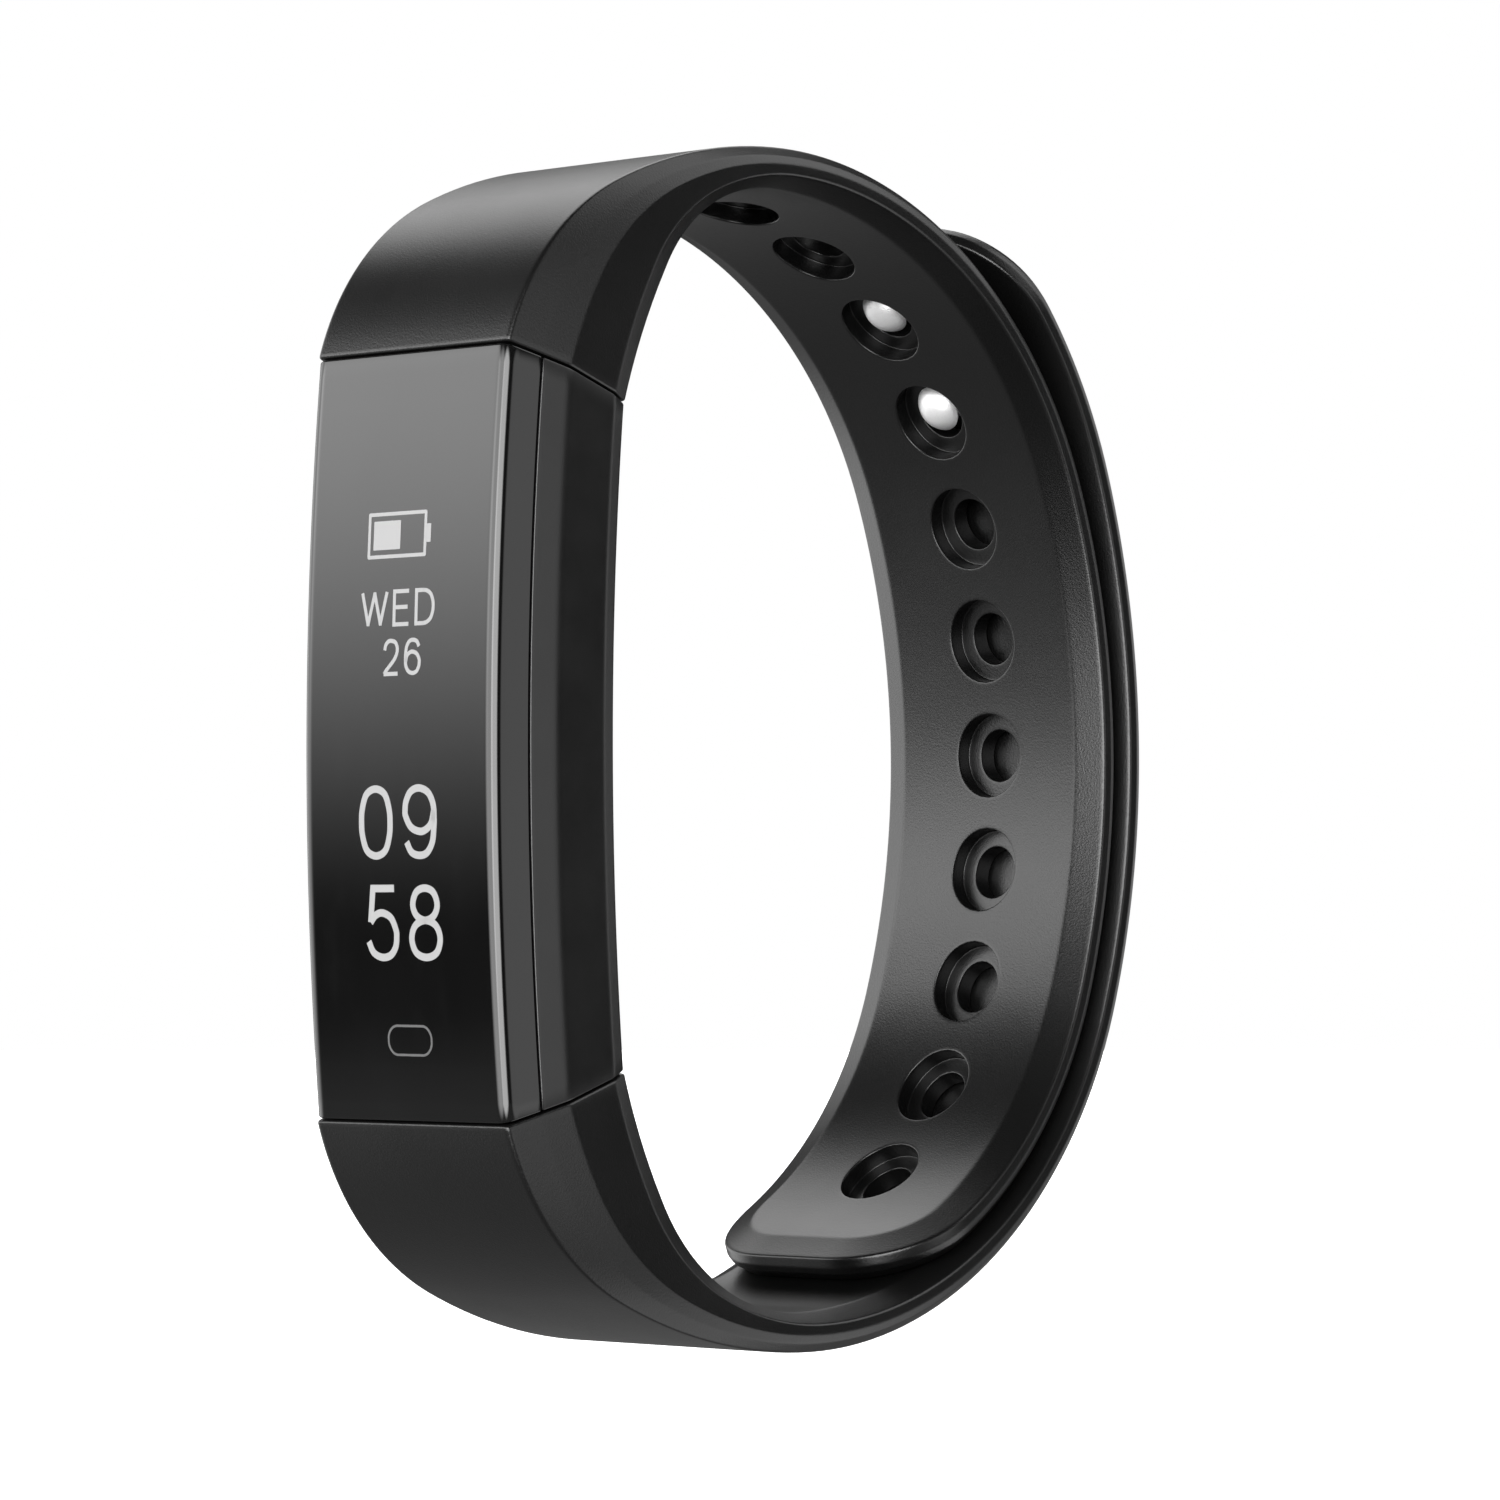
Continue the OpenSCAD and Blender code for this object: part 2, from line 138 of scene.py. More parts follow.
class Graph:
    """Node tree of one material or of the world."""

    def __init__(self, tree: bpy.types.NodeTree) -> None:
        """Starts on an empty tree."""
        self.tree = tree
        tree.nodes.clear()

    def node(self, kind: str, settings: dict | None = None, inputs: dict | None = None,
             output: int | str = 0) -> Wire:
        """Adds a node.

        Args:
            kind: The node's type.
            settings: Properties to set first.
            inputs: Values or wires by socket name or number.
            output: Name or number of the output to return.

        Returns:
            The wire from that output.
        """
        made = self.tree.nodes.new(kind)
        for name, value in (settings or {}).items():
            setattr(made, name, value)
        for key, value in (inputs or {}).items():
            if isinstance(value, Wire):
                self.tree.links.new(value.socket, made.inputs[key])
            else:
                made.inputs[key].default_value = value
        return Wire(self, made.outputs[output] if made.outputs else None)

    def place_mm(self, stretch: tuple[float, float, float] = (1, 1, 1)) -> Wire:
        """Place on the piece in millimetres.

        Args:
            stretch: Factor for each axis.

        Returns:
            The wire of the place.
        """
        where = self.node("ShaderNodeTexCoord", output="Object")
        scale = tuple(factor / MM for factor in stretch)
        return self.node("ShaderNodeMapping", {}, {"Vector": where, "Scale": scale})

    def noise(self, where: Wire, per_mm: float, detail: float = 3.0, rough: float = 0.5) -> Wire:
        """Noise from 0 to 1 with that many lumps in a millimetre."""
        return self.node("ShaderNodeTexNoise", {},
                         {"Vector": where, "Scale": per_mm, "Detail": detail, "Roughness": rough})

    def cells(self, where: Wire, per_mm: float) -> Wire:
        """Distance to the nearest of scattered points, that many in a millimetre."""
        return self.node("ShaderNodeTexVoronoi", {}, {"Vector": where, "Scale": per_mm},
                         "Distance")

    def remap(self, value: Wire, low: float, high: float, to_low: float = 0.0,
              to_high: float = 1.0) -> Wire:
        """Carries low..high to to_low..to_high with soft ends, and clamps."""
        return self.node("ShaderNodeMapRange", {"interpolation_type": "SMOOTHSTEP"},
                         {"Value": value, "From Min": low, "From Max": high,
                          "To Min": to_low, "To Max": to_high})

    def mix(self, share: Wire, first: Any, second: Any) -> Wire:
        """Mixes two colours; share 0 gives the first."""
        return self.node("ShaderNodeMix", {"data_type": "RGBA"}, {0: share, 6: first, 7: second}, 2)

    def bump(self, height: Wire, depth_mm: float) -> Wire:
        """Normal of a surface whose height runs from 0 to depth_mm."""
        return self.node("ShaderNodeBump", {},
                         {"Height": height, "Distance": depth_mm * MM, "Strength": 1.0})


# ---------------------------------------------------------------- finishes


@dataclass(frozen=True)
class Finish:
    """A finish with light mottling; subclasses add what their real surface shows."""

    name: str
    colour: Colour = (0.02, 0.02, 0.02, 1.0)
    roughness: float = 0.5
    metallic: float = 0.0
    specular: float = 0.5
    glow: Colour = (0.0, 0.0, 0.0, 1.0)

    def varying(self, graph: Graph) -> dict[str, Wire]:
        """Sockets that vary over the surface.

        Args:
            graph: The material's nodes.

        Returns:
            Wires by socket name.
        """
        place = graph.place_mm()
        return {"Roughness": graph.noise(place, 1.5) * 0.1 + (self.roughness - 0.05),
                "Normal": graph.bump(graph.noise(place, 12.0), 0.003)}

    def material(self) -> bpy.types.Material:
        """Makes the material, or finds it when it is made already.

        Returns:
            The material, which carries the finish's name.
        """
        found = bpy.data.materials.get(self.name)
        if found:
            return found
        made = bpy.data.materials.new(self.name)
        made.use_nodes = True
        made.diffuse_color = self.colour
        graph = Graph(made.node_tree)
        sockets = {"Base Color": self.colour, "Roughness": self.roughness,
                   "Metallic": self.metallic, "Specular IOR Level": self.specular,
                   "Emission Color": self.glow, "Emission Strength": 1.0}
        sockets.update(self.varying(graph))
        surface = graph.node("ShaderNodeBsdfPrincipled", {}, sockets, "BSDF")
        graph.node("ShaderNodeOutputMaterial", {}, {"Surface": surface})
        return made


@dataclass(frozen=True)
class StrapRubber(Finish):
    """Moulded soft rubber: a fine satin grain, faint flow marks and a little lint."""

    grain_mm: float = 0.11

    def varying(self, graph: Graph) -> dict[str, Wire]:
        """Grain in the height, broad flow in colour and gloss, rare pale specks.

        Args:
            graph: The material's nodes.

        Returns:
            Wires by socket name.
        """
        place = graph.place_mm()
        grain = graph.noise(place, 1 / self.grain_mm, 2.0, 0.55)
        flow = graph.noise(place, 0.12, 4.0)
        specks = graph.remap(graph.cells(place, 1.1), 0.05, 0.0)
        body = graph.mix(flow, shaded(self.colour, 0.82), shaded(self.colour, 1.18))
        return {"Base Color": graph.mix(specks * 0.35, body, grey(0.06)),
                "Roughness": flow * 0.09 + grain * 0.08 + (self.roughness - 0.085),
                "Normal": graph.bump(grain, 0.011)}


@dataclass(frozen=True)
class FineTexture(Finish):
    """Hard plastic from a spark-eroded mould: fine pits and a slightly worn sheen."""

    pit_mm: float = 0.07

    def varying(self, graph: Graph) -> dict[str, Wire]:
        """Pits in the height, handling marks in the gloss.

        Args:
            graph: The material's nodes.

        Returns:
            Wires by socket name.
        """
        place = graph.place_mm()
        pits = graph.noise(place, 1 / self.pit_mm, 1.5, 0.6)
        rubbed = graph.noise(place, 0.3, 5.0, 0.6)
        body = graph.mix(rubbed, shaded(self.colour, 0.85), shaded(self.colour, 1.15))
        return {"Base Color": body,
                "Roughness": rubbed * 0.12 + (self.roughness - 0.06),
                "Normal": graph.bump(pits, 0.004)}


@dataclass(frozen=True)
class DarkGlass(Finish):
    """Hard-coated glass printed black behind: a deep gloss with faint finger smears."""

    def varying(self, graph: Graph) -> dict[str, Wire]:
        """Smears in the gloss and a hardly visible wave in the surface.

        Args:
            graph: The material's nodes.

        Returns:
            Wires by socket name.
        """
        place = graph.place_mm((1.0, 1.0, 0.35))
        smear = graph.remap(graph.noise(place, 0.35, 6.0, 0.6), 0.45, 0.75)
        print_tone = graph.noise(place, 0.2, 2.0)
        return {"Base Color": graph.mix(print_tone, grey(0.003), grey(0.006)),
                "Roughness": smear * 0.07 + self.roughness,
                "Normal": graph.bump(graph.noise(place, 0.15, 1.0), 0.004)}


@dataclass(frozen=True)
class SatinMetal(Finish):
    """Blasted metal, with crystalline sparkle in the colour and the height."""

    grain_mm: float = 0.09
    contrast: float = 0.25

    def varying(self, graph: Graph) -> dict[str, Wire]:
        """Sparkle from cells, tarnish from slow noise.

        Args:
            graph: The material's nodes.

        Returns:
            Wires by socket name.
        """
        place = graph.place_mm()
        grain = graph.cells(place, 1 / self.grain_mm)
        tarnish = graph.noise(place, 0.9, 4.0)
        dull = shaded(self.colour, 1 - self.contrast)
        return {"Base Color": graph.mix(tarnish * 0.5 + grain * 0.5, self.colour, dull),
                "Roughness": tarnish * 0.15 + (self.roughness - 0.07),
                "Normal": graph.bump(grain, 0.012)}


@dataclass(frozen=True)
class BrushedMetal(Finish):
    """Turned or rolled metal with fine lines along one axis."""

    lines: tuple[float, float, float] = (0.05, 1.0, 1.0)

    def varying(self, graph: Graph) -> dict[str, Wire]:
        """Lines stretched along one axis, in height and gloss.

        Args:
            graph: The material's nodes.

        Returns:
            Wires by socket name.
        """
        line = graph.noise(graph.place_mm(self.lines), 9.0, 3.0)
        dull = shaded(self.colour, 0.8)
        return {"Base Color": graph.mix(line, dull, self.colour),
                "Roughness": line * 0.2 + (self.roughness - 0.1),
                "Normal": graph.bump(line, 0.004)}


@dataclass(frozen=True)
class CircuitBoard(Finish):
    """Solder mask over copper: raised tracks, vias and the weave below."""

    def varying(self, graph: Graph) -> dict[str, Wire]:
        """Tracks from a brick pattern, vias from cells, weave from fine noise.

        Args:
            graph: The material's nodes.

        Returns:
            Wires by socket name.
        """
        place = graph.place_mm()
        flat = graph.node("ShaderNodeMapping", {},
                          {"Vector": place, "Rotation": (math.pi / 2, 0.0, 0.0)})
        tracks = graph.node("ShaderNodeTexBrick", {"offset": 0.37, "squash": 0.6},
                            {"Vector": flat, "Scale": 1.0, "Mortar Size": 0.07,
                             "Brick Width": 1.9, "Row Height": 0.55}, "Fac")
        vias = graph.remap(graph.cells(flat, 0.7), 0.16, 0.12)
        weave = graph.noise(place, 4.0, 2.0)
        mask = graph.mix(weave, (0.006, 0.045, 0.02, 1), (0.01, 0.075, 0.03, 1))
        copper = graph.mix(tracks, mask, (0.015, 0.1, 0.04, 1))
        return {"Base Color": graph.mix(vias, copper, (0.72, 0.5, 0.2, 1)),
                "Metallic": vias * 0.9,
                "Roughness": weave * 0.15 + (self.roughness - 0.05),
                "Normal": graph.bump(tracks + vias, 0.01)}


@dataclass(frozen=True)
class ChipPackage(Finish):
    """Moulded chip: matt grains and the round mark beside its first pin."""

    mark: tuple[float, float, float] = (0.0, 0.0, 0.0)
    mark_r: float = 0.22

    def varying(self, graph: Graph) -> dict[str, Wire]:
        """A shallow round mark at one corner over a fine grain.

        Args:
            graph: The material's nodes.

        Returns:
            Wires by socket name.
        """
        place = graph.place_mm()
        offset = graph.node("ShaderNodeVectorMath", {"operation": "SUBTRACT"},
                            {0: place, 1: self.mark})
        spread = graph.node("ShaderNodeVectorMath", {"operation": "LENGTH"}, {0: offset}, "Value")
        mark = graph.remap(spread, self.mark_r, self.mark_r * 0.8)
        grain = graph.noise(place, 14.0, 2.0)
        return {"Base Color": graph.mix(mark, self.colour, grey(0.09)),
                "Roughness": mark * -0.2 + grain * 0.1 + self.roughness,
                "Normal": graph.bump(grain - mark * 2.0, 0.01)}


@dataclass(frozen=True)
class PouchFoil(Finish):
    """Laminated foil of a battery pouch, softly wrinkled."""

    def varying(self, graph: Graph) -> dict[str, Wire]:
        """Wrinkles in height and slow change of gloss, with painted shade: the colour is darker in
        their hollows and lighter on their crests.

        Args:
            graph: The material's nodes.

        Returns:
            Wires by socket name.
        """
        place = graph.place_mm((1.0, 1.0, 0.5))
        wrinkle = graph.noise(place, 0.55, 5.0, 0.6)
        fine = graph.noise(place, 5.0, 2.0)
        # Painted shade and light: the foil's colour is darker in the wrinkles' hollows and lighter
        # on their crests.
        return {"Base Color": graph.mix(wrinkle, grey(0.42), grey(0.62, 0.02)),
                "Roughness": wrinkle * 0.25 + (self.roughness - 0.12),
                "Normal": graph.bump(wrinkle + fine * 0.1, 0.12)}


@dataclass(frozen=True)
class FoamTape(Finish):
    """Closed-cell foam tape."""

    def varying(self, graph: Graph) -> dict[str, Wire]:
        """Cells as pits, with painted shade that darkens their bottoms.

        Args:
            graph: The material's nodes.

        Returns:
            Wires by socket name.
        """
        cell = graph.cells(graph.place_mm(), 4.5)
        # Painted shade: the colour is darker towards each cell's middle, where the pit is deepest.
        return {"Base Color": graph.mix(cell, grey(0.07), grey(0.2)),
                "Roughness": cell * 0.1 + (self.roughness - 0.05),
                "Normal": graph.bump(cell, 0.08)}


@dataclass(frozen=True)
class FlexFilm(Finish):
    """Amber polyimide film over parallel copper tracks."""

    pitch_mm: float = 0.4

    def varying(self, graph: Graph) -> dict[str, Wire]:
        """Tracks as bands across X.

        Args:
            graph: The material's nodes.

        Returns:
            Wires by socket name.
        """
        place = graph.place_mm()
        band = graph.node("ShaderNodeTexWave", {"bands_direction": "X"},
                          {"Vector": place, "Scale": math.pi / (10 * self.pitch_mm),
                           "Distortion": 0.0}, "Fac")
        track = graph.remap(band, 0.35, 0.65)
        return {"Base Color": graph.mix(track, (0.3, 0.1, 0.012, 1), (0.5, 0.2, 0.04, 1)),
                "Metallic": track * 0.5,
                "Roughness": graph.noise(place, 2.0) * 0.1 + self.roughness,
                "Normal": graph.bump(track, 0.02)}


@dataclass(frozen=True)
class PanelGlass(Finish):
    """Display panel: a fine grid of emitters under glass, unlit."""

    pitch_mm: float = 0.16

    def varying(self, graph: Graph) -> dict[str, Wire]:
        """A square grid of paler dots, a violet cast in the film.

        Args:
            graph: The material's nodes.

        Returns:
            Wires by socket name.
        """
        grid = graph.node("ShaderNodeTexChecker", {},
                          {"Vector": graph.place_mm(), "Scale": 1 / self.pitch_mm}, "Fac")
        cast = graph.noise(graph.place_mm(), 0.2, 2.0)
        film = graph.mix(cast, (0.006, 0.005, 0.012, 1), (0.012, 0.008, 0.02, 1))
        return {"Base Color": graph.mix(grid * 0.3, film, (0.03, 0.03, 0.05, 1)),
                "Roughness": cast * 0.05 + self.roughness}


class Part(Enum):
    """The finishes of the tracker, by what they dress."""

    STRAP = StrapRubber("strap_rubber", grey(0.004), 0.31, specular=0.50)
    LENS = DarkGlass("lens_glass", grey(0.004), 0.05, specular=0.52)
    SHELL = FineTexture("shell_plastic", grey(0.008), 0.30, specular=0.5)
    TONGUE = FineTexture("plain_tongue_plastic", grey(0.03), 0.42, pit_mm=0.1)
    SEAL = StrapRubber("seal_rubber", grey(0.05), 0.6, specular=0.35, grain_mm=0.2)
    GASKET = FoamTape("gasket_foam", grey(0.012), 0.8)
    PAD = FoamTape("pad_foam", grey(0.1), 0.85)
    PANEL = PanelGlass("panel_glass", grey(0.01), 0.12)
    FLEX = FlexFilm("flex_film", (0.4, 0.15, 0.02, 1), 0.3)
    GOLD = BrushedMetal("gold_plate", (0.78, 0.55, 0.24, 1), 0.28, 1.0, lines=(1.0, 1.0, 0.08))
    CHASSIS = FineTexture("chassis_plastic", grey(0.55, 0.02), 0.5, pit_mm=0.12)
    BOARD = CircuitBoard("board_mask", (0.01, 0.07, 0.03, 1), 0.38)
    TONGUE_BOARD = CircuitBoard("tongue_mask", (0.01, 0.07, 0.03, 1), 0.34)
    FOIL = PouchFoil("pouch_foil", grey(0.55), 0.38, 0.85)
    STEEL = BrushedMetal("turned_steel", grey(0.5), 0.32, 1.0)
    HEAVY = SatinMetal("sintered_weight", grey(0.24, 0.03), 0.45, 1.0)
    PLATE = BrushedMetal("plate_steel", grey(0.45), 0.4, 1.0, lines=(1.0, 0.1, 0.1))
    PEG = SatinMetal("peg_metal", grey(0.95), 0.38, 0.4, grain_mm=0.07, contrast=0.12)
    READOUT = Finish("readout_light", grey(0.12), 0.5, glow=grey(0.34))
    # The touch key's outline is printed; its faint glow is painted light, since the print is no
    # lamp.
    TOUCH_MARK = Finish("touch_mark_print_and_painted_glow", grey(0.06), 0.5, glow=grey(0.035))

    def dress(self, piece: bpy.types.Object) -> bpy.types.Object:
        """Gives every slot of a piece this finish.

        Args:
            piece: The piece to dress.

        Returns:
            The same piece.
        """
        material = self.value.material()
        if not piece.material_slots:
            piece.data.materials.append(material)
        for slot in piece.material_slots:
            slot.material = material
        return piece


# ---------------------------------------------------------------- surfaces


def right(heading: Any) -> Array:
    """Unit vector to the right of a heading in degrees from +Y towards +Z: (sin h, -cos h)."""
    angle = np.radians(heading)
    return np.stack([np.sin(angle), -np.cos(angle)], axis=-1)


def ahead(heading: Any) -> Array:
    """Unit vector along a heading: (cos h, sin h)."""
    angle = np.radians(heading)
    return np.stack([np.cos(angle), np.sin(angle)], axis=-1)


def cross(first: Array, second: Array) -> float:
    """Cross product of two plane vectors."""
    return float(first[0] * second[1] - first[1] * second[0])


def biarc(start: Array, end: Array, first: float, meet: float, headings: Array) -> Array:
    """Points with the given headings on two tangent arcs that turn right to heading 0.

    A point on an arc is its start plus the radius times the change of the right-hand vector;
    the two radii follow from the start, the end and the heading where the arcs meet.

    Args:
        start: Where the first arc starts.
        end: Where the second arc ends, at heading 0.
        first: Heading at the start.
        meet: Heading where the arcs meet.
        headings: Headings of the wanted points.

    Returns:
        One [y, z] point for each heading.
    """
    near_turn, far_turn = right(first) - right(meet), right(meet) - right(0)
    reach, area = end - start, cross(near_turn, far_turn)
    near_r, far_r = cross(reach, far_turn) / area, cross(near_turn, reach) / area
    sideways = right(headings)
    near = start + near_r * (right(first) - sideways)
    far = end + far_r * (right(0) - sideways)
    return np.where(headings[:, None] > meet, near, far)


# An eased corner takes at most CUT_SHARE of its shorter edge. The flat beside its curve is
# FLAT_MM long, or FLAT_SHARE of what the cuts leave of the edge where that is less.
CUT_SHARE = 0.4
FLAT_MM = 0.15
FLAT_SHARE = 0.3


def eased(line: Array, cuts: Any, steps: int = 5) -> Array:
    """Bends with soft corners, for many lines at once.

    Each inner corner becomes a quadratic curve (1-t)^2 A + 2t(1-t) C + t^2 B, whose ends A
    and B lie `cut` from the corner C on its two edges. A point just outside each end keeps
    the flat beside the curve flat when it is shaded.

    Args:
        line: Points of shape (rows, n, 2).
        cuts: One distance for each of the n - 2 inner corners.
        steps: Points on each curve.

    Returns:
        The eased lines, of shape (rows, (n - 2) * (steps + 2), 2), without the end points.
    """
    edge = line[:, 1:] - line[:, :-1]
    length = np.linalg.norm(edge, axis=-1)
    unit = edge / length[..., None]
    corner = line[:, 1:-1]
    shorter = np.minimum(length[:, :-1], length[:, 1:])
    cut = np.minimum(np.asarray(cuts)[None], CUT_SHARE * shorter)
    padded = np.pad(cut, ((0, 0), (1, 1)))
    spare = np.minimum(FLAT_MM, FLAT_SHARE * (length - padded[:, :-1] - padded[:, 1:]))
    before = corner - unit[:, :-1] * cut[..., None]
    after = corner + unit[:, 1:] * cut[..., None]
    lead = before - unit[:, :-1] * spare[:, :-1, None]
    trail = after + unit[:, 1:] * spare[:, 1:, None]
    t = np.linspace(0, 1, steps)[:, None]
    curve = ((1 - t) ** 2 * before[:, :, None] + 2 * t * (1 - t) * corner[:, :, None]
             + t ** 2 * after[:, :, None])
    block = np.concatenate([lead[:, :, None], curve, trail[:, :, None]], axis=2)
    return block.reshape(len(line), -1, 2)


class Skin:
    """Patches of a piece's surface, welded into one closed mesh.

    Points closer than WELD millimetres become one, and edges shorter than SLIVER metres go.
    """

    WELD = 0.003
    SLIVER = 1e-7

    def __init__(self) -> None:
        """Starts with no patch."""
        self.points: list[Array] = []
        self.quads: list[Array] = []
        self.count = 0

    def patch(self, points: Array, wrap: bool = False, keep: Array | None = None) -> None:
        """Adds a grid of points.

        Args:
            points: Shape (rows, columns, 3), in millimetres.
            wrap: Joins the last column to the first.
            keep: Mask of the grid's cells that become faces.
        """
        rows, columns = points.shape[:2]
        index = np.arange(rows * columns).reshape(rows, columns) + self.count
        if wrap:
            index = np.concatenate([index, index[:, :1]], axis=1)
        quads = np.stack([index[:-1, :-1], index[:-1, 1:], index[1:, 1:], index[1:, :-1]], -1)
        self.quads.append((quads if keep is None else quads[keep]).reshape(-1, 4))
        self.points.append(points.reshape(-1, 3))
        self.count += rows * columns

    def fan(self, loop: Array) -> None:
        """Closes a loop of points with a fan from its middle."""
        middle = np.broadcast_to(loop.mean(axis=0), loop.shape)
        self.patch(np.stack([loop, middle]), wrap=True)

    def build(self, name: str, part: Part, slot: str, crease: float = 40.0) -> bpy.types.Object:
        """Makes the piece.

        Args:
            name: The piece's name.
            part: Its finish.
            slot: The record's material slot; not used.
            crease: Angle in degrees above which an edge stays sharp.

        Returns:
            The object, closed and facing outwards.
        """
        mesh = bpy.data.meshes.new(name)
        points = np.concatenate(self.points) * MM
        mesh.from_pydata(points.tolist(), [], np.concatenate(self.quads).tolist())
        shape = bmesh.new()
        shape.from_mesh(mesh)
        bmesh.ops.remove_doubles(shape, verts=shape.verts, dist=self.WELD * MM)
        bmesh.ops.dissolve_degenerate(shape, edges=shape.edges, dist=self.SLIVER)
        bmesh.ops.recalc_face_normals(shape, faces=shape.faces)
        loose = sum(1 for edge in shape.edges if len(edge.link_faces) != 2)
        shape.to_mesh(mesh)
        shape.free()
        mesh.shade_smooth()
        mesh.set_sharp_from_angle(angle=math.radians(crease))
        piece = bpy.data.objects.new(name, mesh)
        bpy.context.scene.collection.objects.link(piece)
        part.dress(piece)
        LOG.info("%s: %d faces, %d open edges", name, len(mesh.polygons), loose)
        return piece


def end_easing(depth: float, steps: int = 4) -> tuple[Array, Array]:
    """Rows of a quarter-round at an end: how far from the end, and how far pulled in."""
    angle = np.linspace(0, math.pi / 2, steps)
    return depth * (1 - np.cos(angle)), depth * (1 - np.sin(angle))


@dataclass(frozen=True)
class Section:
    """Half outline across the band: half widths, and depths as shares of the thickness."""

    half: Array
    share: Array

    def toward(self, other: "Section", amount: Array) -> tuple[Array, Array]:
        """Half widths and shares moved towards another section, a row for each amount."""
        amount = np.atleast_1d(amount)[:, None]
        return (self.half + amount * (other.half - self.half),
                self.share + amount * (other.share - self.share))


def outline_rows(half: Array, share: Array, thick: Array, cuts: Any, inset: Array | float = 0.0
                 ) -> Array:
    """Eased half outlines, one for each row.

    Args:
        half: Half widths, shape (rows, corners).
        share: Depths as shares of the thickness, the same shape.
        thick: Thickness of each row.
        cuts: How far each corner is eased.
        inset: How far each row is pulled in all round.

    Returns:
        Points (x, depth in millimetres) of shape (rows, n, 2).
    """
    depth = share * thick[:, None]
    corners = np.stack([half, depth], axis=-1)
    ends = [np.stack([np.zeros(len(thick)), depth[:, k]], -1)[:, None] for k in (0, -1)]
    line = eased(np.concatenate([ends[0], corners, ends[1]], axis=1), cuts)
    inset = np.broadcast_to(inset, thick.shape)
    middle = (depth[:, :1] + depth[:, -1:]) / 2
    span = depth[:, -1] - depth[:, 0]
    x = line[..., 0] * (1 - inset / half.max(axis=1))[:, None]
    y = middle + (line[..., 1] - middle) * (1 - 2 * inset / span)[:, None]
    return np.stack([x, y], axis=-1)


def whole_outline(half: Array, columns: int) -> Array:
    """Closes half outlines: the right side, the wrist side, the left side, the outside.

    Args:
        half: Half outlines, shape (rows, n, 2).
        columns: Faces across each of the two flat sides.

    Returns:
        The closed outlines, one for each row.
    """
    flip = half[:, ::-1] * (-1, 1)
    across = np.linspace(1, -1, columns + 1)[1:-1]
    wrist = np.stack([half[:, -1:, 0] * across, np.repeat(half[:, -1:, 1], columns - 1, 1)], -1)
    outer = np.stack([half[:, :1, 0] * -across, np.repeat(half[:, :1, 1], columns - 1, 1)], -1)
    return np.concatenate([half, wrist, flip, outer], axis=1)


def lay(section: Array, outer: Array, wrist: Array, thick: Array) -> Array:
    """Lays each row's (x, depth) points between its outer and its wrist point.

    Args:
        section: Points (x, depth), shape (rows, n, 2).
        outer: Plane point of each row where the depth is 0.
        wrist: Plane point of each row where the depth is the thickness.
        thick: Thickness of each row.

    Returns:
        Points in space, shape (rows, n, 3).
    """
    share = section[..., 1] / thick[:, None]
    plane = outer[:, None] + share[..., None] * (wrist - outer)[:, None]
    return np.concatenate([section[..., :1], plane], axis=-1)


def mirrored(points: Array) -> Array:
    """The same points on the other side of the band."""
    return points * (-1, 1, 1)


# ---------------------------------------------------------------- the loop


